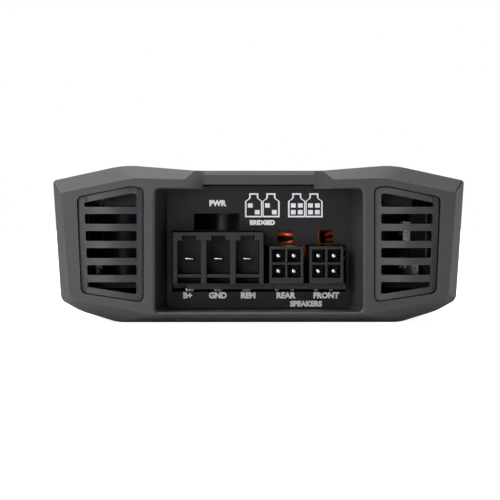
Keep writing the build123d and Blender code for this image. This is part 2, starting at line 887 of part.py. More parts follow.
with BuildPart() as clamp_screws:
    face_x = wall_row - clamp_thick
    for side, y in clamp_screw_places:
        with BuildSketch(Plane((side * face_x, y, clamp_z), x_dir=(0, 1, 0), z_dir=(side, 0, 0))):
            Circle(machine_screw_r)
        extrude(amount=clamp_thick + package[0] + pad_thick + clamp_screw_bite)
        with BuildSketch(Plane((side * face_x, y, clamp_z), x_dir=(0, 1, 0), z_dir=(-side, 0, 0))):
            Circle(machine_head_r)
        extrude(amount=machine_head_height)
        with BuildSketch(
            Plane((side * (face_x - machine_head_height), y, clamp_z), x_dir=(0, 1, 0), z_dir=(side, 0, 0))
        ):
            Rectangle(2 * drive_r, 2 * drive_r)
        extrude(amount=drive_depth, mode=Mode.SUBTRACT)

with BuildPart() as transistor_clamps:
    for side in (-1, 1):
        block(
            sorted((side * (wall_row - clamp_thick), side * wall_row)),
            span(0, 2 * clamp_reach),
            span(clamp_z, clamp_height),
        )
    add(clamp_screws.part, mode=Mode.SUBTRACT)

with BuildPart() as main_board:
    block(span(0, 2 * (inner_wall - board_gap)), span(0, 2 * board_end), (board_bottom, board_top))
    block(
        (open_x[0] + tongue_inset, open_x[1] - header_gap),
        (-board_end - tongue_reach, through - board_end),
        (board_bottom, board_top),
    )
    for legs in (
        power_header_blades,
        rear_speaker_pins,
        front_speaker_pins,
        transistor_leads,
        board_screws,
    ):
        add(legs.part, mode=Mode.SUBTRACT)

# ================================================= input end

back_panel_front = -panel_back     # inner face of the input end's panel
back_panel_face = -panel_front
control_y = back_panel_front - pot_body_depth - control_gap
control_low = board_top + control_lift

rca_places = [
    (rca_column + column * rca_pitch, board_top + rca_row + row * rca_rise)
    for row in (0, 1)
    for column in (0, 1)
]
rca_back = back_panel_front - rca_plate            # rear ends of the shields and contacts
rca_front = back_panel_face + rca_shield_length
rca_insulator_r = rca_shield_r - rca_shield_wall
rca_tube_r = rca_contact_r + rca_contact_wall


def disc(x, z, y, radius, thick):
    """Round disc or pin at x and z that reaches from y towards +Y."""
    with BuildSketch(Plane((x, y, z), x_dir=(-1, 0, 0), z_dir=(0, 1, 0))) as face:
        Circle(radius)
    return extrude(face.sketch, amount=thick, mode=Mode.PRIVATE)


with BuildPart() as rca_block:
    block(
        (rca_places[0][0] - rca_margin, rca_places[-1][0] + rca_margin),
        (back_panel_front - rca_block_depth, back_panel_front),
        (board_top, rca_places[-1][1] + rca_margin),
    )
    for x, z in rca_places:
        insulator_front = rca_front - rca_insulator_back
        add(disc(x, z, rca_back, rca_stem_r, rca_plate), mode=Mode.SUBTRACT)
        add(disc(x, z, rca_back, rca_insulator_r, insulator_front - rca_back))
        add(disc(x, z, rca_back, rca_tube_r, rca_front - rca_back), mode=Mode.SUBTRACT)

with BuildPart() as rca_shields:
    for x, z in rca_places:
        shoulder = back_panel_face + rca_stem_gap
        add(disc(x, z, rca_back, rca_stem_r, shoulder - rca_back))
        add(disc(x, z, shoulder, rca_shield_r, rca_front - shoulder))
        add(disc(x, z, rca_back, rca_insulator_r, rca_front - rca_back), mode=Mode.SUBTRACT)

with BuildPart() as rca_contacts:
    for x, z in rca_places:
        contact_front = rca_front - rca_contact_back
        add(disc(x, z, rca_back, rca_tube_r, contact_front - rca_back))
        bore_back = rca_back + rca_contact_floor
        add(disc(x, z, bore_back, rca_contact_r, contact_front - bore_back), mode=Mode.SUBTRACT)

pot_places = [(x, board_top + row) for row in (gain_row, crossover_row) for x in pot_columns]
switch_places = [(x, board_top + switch_row) for x in switch_columns]
lamp_place = (sum(pot_columns) / 2, board_top + gain_row)


def adjuster(x, z):
    """Rotor of a preset pot: a slotted disc on a thin shaft that turns in the pot's body."""
    face_y = back_panel_face + slider_reach
    with BuildPart() as rotor:
        add(disc(x, z, face_y - adjuster_length, adjuster_r, adjuster_length))
        pin_back = face_y - adjuster_length - adjuster_pin_length
        add(disc(x, z, pin_back, adjuster_pin_r, adjuster_pin_length))
        block(
            span(x, adjuster_slot),
            (face_y - adjuster_slot_depth, face_y + through),
            (z - adjuster_r, z + adjuster_slot_reach),
            Mode.SUBTRACT,
        )
    return rotor.part


with BuildPart() as pot_bodies:
    pot_face = back_panel_face + slider_reach - adjuster_length - adjuster_gap
    for x, z in pot_places:
        block(span(x, pot_body), (control_y, pot_face), span(z, pot_body))
        bore_r = adjuster_pin_r + adjuster_bore_gap
        add(disc(x, z, control_y + pot_floor, bore_r, pot_body_depth), mode=Mode.SUBTRACT)

with BuildPart() as front_gain_adjuster:
    add(adjuster(*pot_places[0]))

with BuildPart() as rear_gain_adjuster:
    add(adjuster(*pot_places[1]))

with BuildPart() as front_crossover_adjuster:
    add(adjuster(*pot_places[2]))

with BuildPart() as rear_crossover_adjuster:
    add(adjuster(*pot_places[3]))


def slide_actuator(x, z):
    """Slider of a slide switch: a lever on a shoe that runs in the switch's body."""
    shoe_back = control_y + slider_floor
    with BuildPart() as lever:
        block(span(x, slider_shoe[0]), (shoe_back, shoe_back + slider_shoe[1]), span(z, slider_shoe[2]))
        block(
            span(x, slider_width),
            (shoe_back, back_panel_face + slider_reach),
            span(z, slider_height),
        )
        chamfer(lever.faces().sort_by(Axis.Y)[-1].edges(), slider_bevel)
    return lever.part


slider_play = 2 * (slider_travel + slide_gap)
lever_window = (slider_width + slider_play, slider_height + 2 * slide_gap)

with BuildPart() as switch_bodies:
    for x, z in switch_places:
        body_front = control_y + switch_body[1]
        shoe_back = control_y + slider_floor
        block(span(x, switch_body[0]), (control_y, body_front), span(z, switch_body[2]))
        block(
            span(x, slider_shoe[0] + slider_play),
            (shoe_back - slide_gap, shoe_back + slider_shoe[1] + slide_gap),
            span(z, slider_shoe[2] + 2 * slide_gap),
            Mode.SUBTRACT,
        )
        block(
            span(x, lever_window[0]),
            (shoe_back, body_front + through),
            span(z, lever_window[1]),
            Mode.SUBTRACT,
        )

with BuildPart() as front_filter_slider:
    add(slide_actuator(*switch_places[0]))

with BuildPart() as rear_filter_slider:
    add(slide_actuator(*switch_places[1]))

with BuildPart() as input_mode_slider:
    add(slide_actuator(*switch_places[2]))

with BuildPart() as status_lamp:
    add(disc(*lamp_place, control_y, lamp_r, back_panel_face + slider_reach - lamp_r - control_y))
    with Locations((lamp_place[0], back_panel_face + slider_reach - lamp_r, lamp_place[1])):
        Sphere(lamp_r)

with BuildPart() as control_board:
    block(
        (min(switch_columns) - switch_body[0] / 2, max(switch_columns) + switch_body[0] / 2),
        (control_y - control_thick, control_y),
        (control_low, board_top + gain_row + pot_body / 2 + control_margin),
    )

with BuildPart() as input_end_panel:
    block(
        span(0, 2 * (seat_half - slide_gap)),
        (back_panel_front, back_panel_face),
        (recess_floor + panel_rest, notch_ceiling - slide_gap),
    )
    cut_back = back_panel_front - through
    cut_through = panel_thick + 2 * through
    for x, z in rca_places:
        add(disc(x, z, cut_back, rca_shield_r + rca_hole_gap, cut_through), mode=Mode.SUBTRACT)
    for x, z in pot_places:
        add(disc(x, z, cut_back, adjuster_r + adjuster_gap, cut_through), mode=Mode.SUBTRACT)
    for x, z in switch_places:
        block(
            span(x, lever_window[0]),
            (cut_back, back_panel_face + through),
            span(z, lever_window[1]),
            Mode.SUBTRACT,
        )
    add(disc(*lamp_place, cut_back, lamp_r + rca_hole_gap, cut_through), mode=Mode.SUBTRACT)

# ================================================= heatsink shell

with BuildPart() as heatsink_shell:
    extrude(inner_outline(-shell_front, shell_inset), amount=shell_length)
    with BuildSketch(section(-shell_front)):
        with BuildLine():
            right = [
                (inner_wall, shell_ceiling),
                (inner_wall, board_bottom),
                (inner_wall - ledge_reach, board_bottom),
                (inner_wall - ledge_reach, board_bottom - ledge_thick),
                (base_half - lip_reach, base_thick + lip_thick),
                (base_half - lip_reach, base_thick),
                (base_half, base_thick),
                (base_half, -through),
            ]
            Polyline(*right, *[(-x, z) for x, z in reversed(right)], close=True)
        make_face()
    extrude(amount=shell_length, mode=Mode.SUBTRACT)
    for row in range(fin_rows):
        for side in (-1, 1):
            block(
                span(side * (fin_first + row * fin_pitch), fin_slot),
                span(0, shell_length + 2 * through),
                (height - fin_floor_drop, height + through),
                Mode.SUBTRACT,
            )
    for row in range(side_slot_rows):
        for side in (-1, 1):
            slot_floor = half_width - side_lean - side_slot_depth
            block(
                sorted((side * slot_floor, side * (half_width + through))),
                span(0, shell_length + 2 * through),
                span(side_slot_first + row * side_slot_pitch, fin_slot),
                Mode.SUBTRACT,
            )
    # the screws' threads cut their seats
    for cutter in (base_screws, board_screws, clamp_screws):
        add(cutter.part, mode=Mode.SUBTRACT)

os.makedirs("parts", exist_ok=True)
pieces = {
    "heatsink_shell": heatsink_shell,
    "base_plate": base_plate,
    "base_screws": base_screws,
    "mounting_nuts": mounting_nuts,
    "power_end_frame": power_end_frame,
    "power_end_panel": power_end_panel,
    "power_left_grille": power_left_grille,
    "power_right_grille": power_right_grille,
    "input_end_frame": input_end_frame,
    "input_end_panel": input_end_panel,
    "input_left_grille": input_left_grille,
    "input_right_grille": input_right_grille,
    "main_board": main_board,
    "board_screws": board_screws,
    "power_header": power_header,
    "power_header_blades": power_header_blades,
    "rear_speaker_header": rear_speaker_header,
    "rear_speaker_pins": rear_speaker_pins,
    "front_speaker_header": front_speaker_header,
    "front_speaker_pins": front_speaker_pins,
    "input_choke_core": input_choke_core,
    "input_choke_winding": input_choke_winding,
    "transformer_core": transformer_core,
    "transformer_winding": transformer_winding,
    "output_inductor_cores": output_inductor_cores,
    "output_inductor_windings": output_inductor_windings,
    "supply_capacitors": supply_capacitors,
    "rail_capacitors": rail_capacitors,
    "film_capacitors": film_capacitors,
    "controller_chips": controller_chips,
    "output_transistors": output_transistors,
    "supply_transistors": supply_transistors,
    "transistor_leads": transistor_leads,
    "transistor_pads": transistor_pads,
    "transistor_clamps": transistor_clamps,
    "clamp_screws": clamp_screws,
    "rca_block": rca_block,
    "rca_shields": rca_shields,
    "rca_contacts": rca_contacts,
    "pot_bodies": pot_bodies,
    "front_gain_adjuster": front_gain_adjuster,
    "rear_gain_adjuster": rear_gain_adjuster,
    "front_crossover_adjuster": front_crossover_adjuster,
    "rear_crossover_adjuster": rear_crossover_adjuster,
    "switch_bodies": switch_bodies,
    "front_filter_slider": front_filter_slider,
    "rear_filter_slider": rear_filter_slider,
    "input_mode_slider": input_mode_slider,
    "status_lamp": status_lamp,
    "control_board": control_board,
}
for name, piece in pieces.items():
    piece.part.label = name
    export_step(piece.part, f"parts/{name}.step")
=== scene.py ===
import json
from math import cos, pi, radians, sin, tau

import bpy
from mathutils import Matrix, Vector

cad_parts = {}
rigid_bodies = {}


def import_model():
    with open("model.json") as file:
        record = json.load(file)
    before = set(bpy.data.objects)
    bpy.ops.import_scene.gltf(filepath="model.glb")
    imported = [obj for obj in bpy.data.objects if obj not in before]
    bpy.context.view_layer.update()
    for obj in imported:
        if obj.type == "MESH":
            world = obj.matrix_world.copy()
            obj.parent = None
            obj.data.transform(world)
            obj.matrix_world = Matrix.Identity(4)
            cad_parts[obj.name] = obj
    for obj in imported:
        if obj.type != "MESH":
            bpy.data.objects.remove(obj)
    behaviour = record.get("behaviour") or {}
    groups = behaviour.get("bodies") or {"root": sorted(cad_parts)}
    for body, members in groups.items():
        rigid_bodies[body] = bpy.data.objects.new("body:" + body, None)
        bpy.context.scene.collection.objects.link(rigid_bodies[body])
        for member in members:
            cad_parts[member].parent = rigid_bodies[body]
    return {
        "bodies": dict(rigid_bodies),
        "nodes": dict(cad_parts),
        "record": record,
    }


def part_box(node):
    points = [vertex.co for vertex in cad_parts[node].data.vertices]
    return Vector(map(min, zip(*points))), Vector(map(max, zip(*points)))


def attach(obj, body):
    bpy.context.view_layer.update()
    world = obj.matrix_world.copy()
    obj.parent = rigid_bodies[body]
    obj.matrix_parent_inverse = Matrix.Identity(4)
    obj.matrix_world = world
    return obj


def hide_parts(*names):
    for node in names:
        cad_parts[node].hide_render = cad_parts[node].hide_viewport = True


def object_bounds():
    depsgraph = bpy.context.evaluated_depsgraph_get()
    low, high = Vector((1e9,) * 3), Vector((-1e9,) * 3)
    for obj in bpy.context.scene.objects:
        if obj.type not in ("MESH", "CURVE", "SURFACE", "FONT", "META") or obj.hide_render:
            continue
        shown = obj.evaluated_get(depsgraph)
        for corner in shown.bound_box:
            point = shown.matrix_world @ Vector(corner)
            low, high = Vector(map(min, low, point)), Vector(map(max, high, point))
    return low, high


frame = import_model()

CAD_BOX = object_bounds()

bl_info = {
    "name": "Car Amplifier",
    "version": (1, 0, 0),
    "blender": (4, 5, 0),
    "location": "3D View > Sidebar > Amplifier",
    "description": "Finishes, windings, lettering and studio for a compact four-channel car amplifier",
    "category": "Object",
}

MM = 0.001
HOUSING = "housing"
LOW, HIGH = CAD_BOX
FRONT_FACE = LOW.y
SPAN = HIGH - LOW
FINISHES = {}         # materials by slot, filled by the first operator

VENT_RIM = 2.3 * MM           # grille's border beside its bars
VENT_BAR_REACH = 0.345        # share of a grille's height, above and below its middle, that is bars
BOW_CUTS = 12                 # straight pieces of a bowed bar

CORE_GAP = 0.3 * MM           # insulation between a core and its wire
WIRE_FILL = 0.96              # share of the wire's pitch that is wire
TURN_STEPS = 14               # points in one turn of wire

CAPITAL_SHARE = 0.70          # height of a capital, as a share of the font's size
INK_SPREAD = 0.13 * MM        # how far printed strokes grow past the font's outline

JACK_RADIUS = 4.15 * MM       # outside of a jack's shield
RING_RADIUS = 3.3 * MM        # outside of the coloured ring
RING_WIDTH = 1.2 * MM
RING_THICK = 0.3 * MM
RING_LIFT = 0.16 * MM         # middle of the ring in front of the insulator's face


# ------------------------------------------------------------------ settings

class FinishSettings(bpy.types.PropertyGroup):
    """Colours of the outside."""

    coat: bpy.props.FloatVectorProperty(
        name="Housing coat", description="Powder coat of the housing", subtype="COLOR",
        default=(0.025, 0.025, 0.0285), min=0, max=1,
    )
    panel: bpy.props.FloatVectorProperty(
        name="Panel", description="Connector panels", subtype="COLOR",
        default=(0.008, 0.0075, 0.008), min=0, max=1,
    )
    connector: bpy.props.FloatVectorProperty(
        name="Connector", description="Moulded connector housings", subtype="COLOR",
        default=(0.009, 0.0088, 0.009), min=0, max=1,
    )
    ink: bpy.props.FloatVectorProperty(
        name="Ink", description="Printed words and symbols", subtype="COLOR",
        default=(0.88, 0.92, 0.98), min=0, max=1,
    )
    copper: bpy.props.FloatVectorProperty(
        name="Copper", description="Enamelled winding wire", subtype="COLOR",
        default=(0.86, 0.27, 0.08), min=0, max=1,
    )
    mask: bpy.props.FloatVectorProperty(
        name="Solder mask", description="Circuit boards", subtype="COLOR",
        default=(0.010, 0.017, 0.013), min=0, max=1,
    )


class ShapeSettings(bpy.types.PropertyGroup):
    """Sizes of what is shaped here."""

    cast_edge: bpy.props.FloatProperty(
        name="Cast edge", description="Rounding of the end frames' edges", unit="LENGTH",
        default=0.28 * MM, min=0, precision=5,
    )
    vent_edge: bpy.props.FloatProperty(
        name="Vent edge", description="Rounding of the vent bars' edges", unit="LENGTH",
        default=0.3 * MM, min=0, precision=5,
    )
    bar_bow: bpy.props.FloatProperty(
        name="Bar bow", description="How far the vent bars bow outward", unit="LENGTH",
        default=1.6 * MM, min=0, precision=5,
    )
    fin_edge: bpy.props.FloatProperty(
        name="Fin edge", description="Rounding of the heatsink's fins", unit="LENGTH",
        default=0.22 * MM, min=0, precision=5,
    )
    moulded_edge: bpy.props.FloatProperty(
        name="Moulded edge", description="Rounding of moulded connectors", unit="LENGTH",
        default=0.12 * MM, min=0, precision=5,
    )
    plate_edge: bpy.props.FloatProperty(
        name="Plate edge", description="Rounding of plates, boards and pins", unit="LENGTH",
        default=0.1 * MM, min=0, precision=5,
    )
    ink_thick: bpy.props.FloatProperty(
        name="Ink", description="Thickness of the printed ink", unit="LENGTH",
        default=0.03 * MM, min=0, precision=5,
    )


class StudioSettings(bpy.types.PropertyGroup):
    """Camera and lights."""

    distance: bpy.props.FloatProperty(
        name="Distance", description="Camera to the front face", unit="LENGTH", default=0.7, min=0.1,
    )
    elevation: bpy.props.FloatProperty(
        name="Elevation", description="Camera above the horizon", subtype="ANGLE",
        default=radians(1.3),
    )
    azimuth: bpy.props.FloatProperty(
        name="Azimuth", description="Camera to the right of the middle", subtype="ANGLE",
        default=radians(-0.8),
    )
    lens: bpy.props.FloatProperty(name="Lens", description="Focal length in mm", default=188.0, min=10)
    key_power: bpy.props.FloatProperty(
        name="Key", description="Softbox at the front left", unit="POWER", default=0.72, min=0,
    )
    top_power: bpy.props.FloatProperty(
        name="Top", description="Softbox overhead", unit="POWER", default=6.0, min=0,
    )
    rim_power: bpy.props.FloatProperty(
        name="Rim", description="Strips at both sides", unit="POWER", default=1.7, min=0,
    )
    fill_power: bpy.props.FloatProperty(
        name="Fill", description="Weak softbox in front, which reaches into the recess",
        unit="POWER", default=2.0, min=0,
    )
    glint_power: bpy.props.FloatProperty(
        name="Glint", description="Tiny lamp beside the input choke",
        unit="POWER", default=0.0003, min=0, precision=5,
    )
    back_power: bpy.props.FloatProperty(
        name="Back", description="Large softbox behind, which lights the top edges",
        unit="POWER", default=20.0, min=0,
    )
    floor_glow: bpy.props.FloatProperty(
        name="Floor glow", description="How white the floor shows where nothing lights it",
        default=0.9, min=0,
    )
    ambient: bpy.props.FloatProperty(
        name="Ambient", description="Light from the white room", default=0.10, min=0,
    )


# ------------------------------------------------------------------ modelling helpers

def select_none():
    """Deselects everything."""
    for other in bpy.context.selected_objects:
        other.select_set(False)


def select_only(*pieces):
    """Selects these pieces only and makes the first one active."""
    select_none()
    for piece in pieces:
        piece.select_set(True)
    bpy.context.view_layer.objects.active = pieces[0]


def apply_modifiers(piece):
    """Applies every modifier, in order."""
    select_only(piece)
    for name in [m.name for m in piece.modifiers]:
        bpy.ops.object.modifier_apply(modifier=name)


def apply_place(piece):
    """Puts a piece's place, turn and scale into its mesh."""
    select_only(piece)
    bpy.ops.object.transform_apply(location=True, rotation=True, scale=True)


def mesh_of_curve(curve):
    """Turns a curve into a mesh piece of the same name."""
    piece = bpy.data.objects.new(curve.name, curve)
    bpy.context.collection.objects.link(piece)
    select_only(piece)
    bpy.ops.object.convert(target="MESH")
    return bpy.context.object


def cad_copy(node):
    """A copy of a CAD node's mesh, with its loose triangles merged into whole faces."""
    mesh = frame["nodes"][node].data.copy()
    piece = bpy.data.objects.new(node + "_soft", mesh)
    bpy.context.collection.objects.link(piece)
    select_only(piece)
    bpy.ops.mesh.customdata_custom_splitnormals_clear()
    bpy.ops.object.mode_set(mode="EDIT")
    bpy.ops.mesh.select_all(action="SELECT")
    bpy.ops.mesh.remove_doubles(threshold=1e-6)
    bpy.ops.mesh.tris_convert_to_quads(face_threshold=radians(0.6), shape_threshold=pi)
    bpy.ops.object.mode_set(mode="OBJECT")
    return piece


def soften(node, width, slot, segments=2, angle=32, shape=None):
    """Stands a painted, soft-edged copy in for a CAD node, shaped first if a function is given."""
    piece = cad_copy(node)
    if shape:
        shape(piece, *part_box(node))
    edge = piece.modifiers.new("edge", "BEVEL")
    edge.width = width
    edge.segments = segments
    edge.limit_method = "ANGLE"
    edge.angle_limit = radians(angle)
    edge.use_clamp_overlap = True
    edge.miter_outer = "MITER_ARC"
    weighted = piece.modifiers.new("weighted", "WEIGHTED_NORMAL")
    weighted.keep_sharp = False
    for face in piece.data.polygons:
        face.use_smooth = True
    apply_modifiers(piece)
    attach(piece, body_of_node(node))
    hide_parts(node)
    paint(piece, FINISHES[slot])


def bow_bars(piece, low, high):
    """Bows a grille's bars outward in a smooth curve between their two ends."""
    outward = 1 if low.y > 0 else -1
    face = high.y if outward > 0 else low.y
    start, stop = low.x + VENT_RIM, high.x - VENT_RIM
    middle, reach = (low.z + high.z) / 2, (high.z - low.z) * VENT_BAR_REACH
    select_only(piece)
    bpy.ops.object.mode_set(mode="EDIT")
    for cut in range(BOW_CUTS + 1):
        bpy.ops.mesh.select_all(action="SELECT")
        bpy.ops.mesh.bisect(plane_co=(start + (stop - start) * cut / BOW_CUTS, 0, 0), plane_no=(1, 0, 0))
    bpy.ops.object.mode_set(mode="OBJECT")
    bars = piece.vertex_groups.new(name="bars")
    for vertex in piece.data.vertices:
        share = (vertex.co.x - start) / (stop - start)
        on_bar = abs(vertex.co.z - middle) < reach and abs(vertex.co.y - face) < 0.6 * MM
        if on_bar and 0 < share < 1:
            bars.add([vertex.index], 1 - (2 * share - 1) ** 2, "REPLACE")
    bow = piece.modifiers.new("bow", "DISPLACE")
    bow.direction = "Y"
    bow.mid_level = 0.0
    bow.strength = outward * bpy.context.scene.amplifier_shape.bar_bow
    bow.vertex_group = "bars"
    apply_modifiers(piece)


def body_of_node(node):
    """The body that a CAD node belongs to: a mover has a body of its own name."""
    return node if node in frame["bodies"] else HOUSING


def paint(piece, material):
    """Gives every material slot of a piece this material."""
    if not piece.material_slots:
        piece.data.materials.append(material)
    for place in piece.material_slots:
        place.material = material


def paint_nodes(material, *nodes):
    """Gives CAD nodes this material."""
    for node in nodes:
        paint(frame["nodes"][node], material)


# ------------------------------------------------------------------ shader node groups

def new_group(name, inputs, outputs):
    """Empty shader node group with float sockets, and a vector socket first."""
    group = bpy.data.node_groups.new(name, "ShaderNodeTree")
    face = group.interface
    face.new_socket("Vector", in_out="INPUT", socket_type="NodeSocketVector")
    for label, value in inputs.items():
        face.new_socket(label, in_out="INPUT", socket_type="NodeSocketFloat").default_value = value
    for label in outputs:
        face.new_socket(label, in_out="OUTPUT", socket_type="NodeSocketFloat")
    return group, group.nodes.new("NodeGroupInput"), group.nodes.new("NodeGroupOutput")


def wire(tree, source, target):
    """Links an output socket to an input socket."""
    tree.links.new(source, target)


def add_node(tree, kind, **values):
    """New node with its settings and its inputs' values, by name."""
    node = tree.nodes.new("ShaderNode" + kind)
    for key, value in values.items():
        if hasattr(node, key):
            setattr(node, key, value)
        else:
            node.inputs[key.replace("_", " ")].default_value = value
    return node


def math_node(tree, operation, first, second, clamp=False):
    """Math node on two sockets or numbers."""
    node = tree.nodes.new("ShaderNodeMath")
    node.operation = operation
    node.use_clamp = clamp
    for place, value in enumerate((first, second)):
        if isinstance(value, (int, float)):
            node.inputs[place].default_value = value
        else:
            wire(tree, value, node.inputs[place])
    return node.outputs[0]


def scaled_noise(tree, vector, scale, detail=3.0, roughness=0.55):
    """Noise on a vector, with its scale from a socket or a number."""
    noise = add_node(tree, "TexNoise", Detail=detail, Roughness=roughness)
    wire(tree, vector, noise.inputs["Vector"])
    if isinstance(scale, (int, float)):
        noise.inputs["Scale"].default_value = scale
    else:
        wire(tree, scale, noise.inputs["Scale"])
    return noise.outputs["Fac"]


def spread(tree, value, low, high, to_low=0.0, to_high=1.0):
    """Stretches a value's range from low..high to another one."""
    node = add_node(tree, "MapRange")
    node.clamp = True
    wire(tree, value, node.inputs["Value"])
    for name, number in (("From Min", low), ("From Max", high), ("To Min", to_low), ("To Max", to_high)):
        node.inputs[name].default_value = number
    return node.outputs["Result"]


def grain_group():
    """Fine surface grain over soft waves, with slow patches of tone."""
    group, entry, leave = new_group(
        "Surface grain", {"Grain": 2600.0, "Wave": 420.0, "Patch": 28.0}, ("Height", "Tone", "Speck")
    )
    vector = entry.outputs["Vector"]
    grain = scaled_noise(group, vector, entry.outputs["Grain"], 2.0, 0.6)
    wave = scaled_noise(group, vector, entry.outputs["Wave"], 2.0, 0.5)
    patch = scaled_noise(group, vector, entry.outputs["Patch"], 4.0, 0.6)
    fine = math_node(group, "MULTIPLY", grain, 0.6)
    coarse = math_node(group, "MULTIPLY", wave, 0.4)
    height = math_node(group, "ADD", fine, coarse)
    wire(group, height, leave.inputs["Height"])
    wire(group, spread(group, patch, 0.32, 0.68), leave.inputs["Tone"])
    wire(group, spread(group, grain, 0.62, 0.78), leave.inputs["Speck"])
    return group


def wear_group():
    """Mask of rubbed edges, broken up by noise."""
    group, entry, leave = new_group("Edge wear", {"Radius": 0.0004, "Break": 900.0}, ("Mask",))
    rounded = add_node(group, "Bevel", samples=4)
    wire(group, entry.outputs["Radius"], rounded.inputs["Radius"])
    shape = add_node(group, "NewGeometry")
    facing = add_node(group, "VectorMath", operation="DOT_PRODUCT")
    wire(group, rounded.outputs["Normal"], facing.inputs[0])
    wire(group, shape.outputs["Normal"], facing.inputs[1])
    edge = spread(group, facing.outputs["Value"], 0.995, 0.86)
    noise = scaled_noise(group, entry.outputs["Vector"], entry.outputs["Break"], 4.0, 0.7)
    broken = spread(group, noise, 0.42, 0.62, 0.15, 1.0)
    wire(group, math_node(group, "MULTIPLY", edge, broken, clamp=True), leave.inputs["Mask"])
    return group


def streak_group():
    """Long streaks along Y, as on extruded, drawn or brushed metal."""
    group, entry, leave = new_group("Drawn streaks", {"Across": 1800.0, "Along": 12.0}, ("Streak",))
    split = add_node(group, "SeparateXYZ")
    wire(group, entry.outputs["Vector"], split.inputs[0])
    join = add_node(group, "CombineXYZ")
    across = entry.outputs["Across"]
    wire(group, math_node(group, "MULTIPLY", split.outputs["X"], across), join.inputs["X"])
    wire(group, math_node(group, "MULTIPLY", split.outputs["Y"], entry.outputs["Along"]), join.inputs["Y"])
    wire(group, math_node(group, "MULTIPLY", split.outputs["Z"], across), join.inputs["Z"])
    noise = scaled_noise(group, join.outputs[0], 1.0, 4.0, 0.65)
    wire(group, spread(group, noise, 0.3, 0.7), leave.inputs["Streak"])
    return group


def dust_group():
    """Dust that settles on faces that look up, thicker in patches."""
    group, entry, leave = new_group("Settled dust", {"Patch": 160.0}, ("Mask",))
    shape = add_node(group, "NewGeometry")
    split = add_node(group, "SeparateXYZ")
    wire(group, shape.outputs["Normal"], split.inputs[0])
    upward = spread(group, split.outputs["Z"], 0.55, 1.0)
    noise = scaled_noise(group, entry.outputs["Vector"], entry.outputs["Patch"], 6.0, 0.7)
    patch = spread(group, noise, 0.45, 0.75)
    wire(group, math_node(group, "MULTIPLY", upward, patch, clamp=True), leave.inputs["Mask"])
    return group


def crevice_shade_group():
    """Painted shade: a mask from ambient occlusion of grooves, slots and corners, where shade falls,
    broken up by noise.
    """
    group, entry, leave = new_group("Crevice shade", {"Reach": 0.001}, ("Mask",))
    shut = add_node(group, "AmbientOcclusion", samples=6)
    wire(group, entry.outputs["Reach"], shut.inputs["Distance"])
    noise = scaled_noise(group, entry.outputs["Vector"], 500.0, 4.0, 0.7)
    patch = spread(group, noise, 0.25, 0.6, 0.55, 1.0)
    # painted shade: the more closed in a spot is, the darker it is painted
    closed = spread(group, shut.outputs["AO"], 0.92, 0.45)
    wire(group, math_node(group, "MULTIPLY", closed, patch, clamp=True), leave.inputs["Mask"])
    return group


# ------------------------------------------------------------------ materials

class Finish:
    """A material under construction: its shader, its object coordinates, colour and roughness chain."""

    def __init__(self, name, base, roughness, metallic=0.0, **sockets):
        self.material = bpy.data.materials.new(name)
        self.material.use_nodes = True
        self.material.diffuse_color = (*base, 1.0)
        self.tree = self.material.node_tree
        self.shader = self.tree.nodes["Principled BSDF"]
        self.shader.inputs["Metallic"].default_value = metallic
        for label, value in sockets.items():
            self.shader.inputs[label.replace("_", " ")].default_value = value
        self.place = add_node(self.tree, "TexCoord").outputs["Object"]
        self.base = base
        self.colour = None
        self.roughness = roughness
        self.height = None

    def group(self, name, **values):
        """Puts a shared node group in and feeds it the object coordinates."""
        node = self.tree.nodes.new("ShaderNodeGroup")
        node.node_tree = bpy.data.node_groups[name]
        wire(self.tree, self.place, node.inputs["Vector"])
        for label, value in values.items():
            node.inputs[label].default_value = value
        return node

    def mix(self, mask, other, strength=1.0):
        """Mixes another colour over what is there, by a mask."""
        node = add_node(self.tree, "Mix", data_type="RGBA")
        wire(self.tree, math_node(self.tree, "MULTIPLY", mask, strength), node.inputs[0])
        if self.colour is None:
            node.inputs[6].default_value = (*self.base, 1.0)
        else:
            wire(self.tree, self.colour, node.inputs[6])
        node.inputs[7].default_value = (*other, 1.0)
        self.colour = node.outputs[2]
        return self

    def roughen(self, mask, low, high):
        """Sets the roughness from a mask, from low to high."""
        self.roughness = spread(self.tree, mask, 0.0, 1.0, low, high)
        return self

    def add_height(self, value, amount):
        """Adds to the bump's height, in metres."""
        term = math_node(self.tree, "MULTIPLY", value, amount)
        self.height = term if self.height is None else math_node(self.tree, "ADD", self.height, term)
        return self

    def done(self, bump=1.0):
        """Joins the chains to the shader."""
        if self.colour is None:
            self.shader.inputs["Base Color"].default_value = (*self.base, 1.0)
        else:
            wire(self.tree, self.colour, self.shader.inputs["Base Color"])
        if isinstance(self.roughness, float):
            self.shader.inputs["Roughness"].default_value = self.roughness
        else:
            wire(self.tree, self.roughness, self.shader.inputs["Roughness"])
        if self.height is not None:
            relief = add_node(self.tree, "Bump", Strength=bump, Distance=1.0)
            wire(self.tree, self.height, relief.inputs["Height"])
            wire(self.tree, relief.outputs["Normal"], self.shader.inputs["Normal"])
        return self.material


def shade(colour, factor):
    """A colour made lighter or darker."""
    return tuple(min(1.0, part * factor) for part in colour)


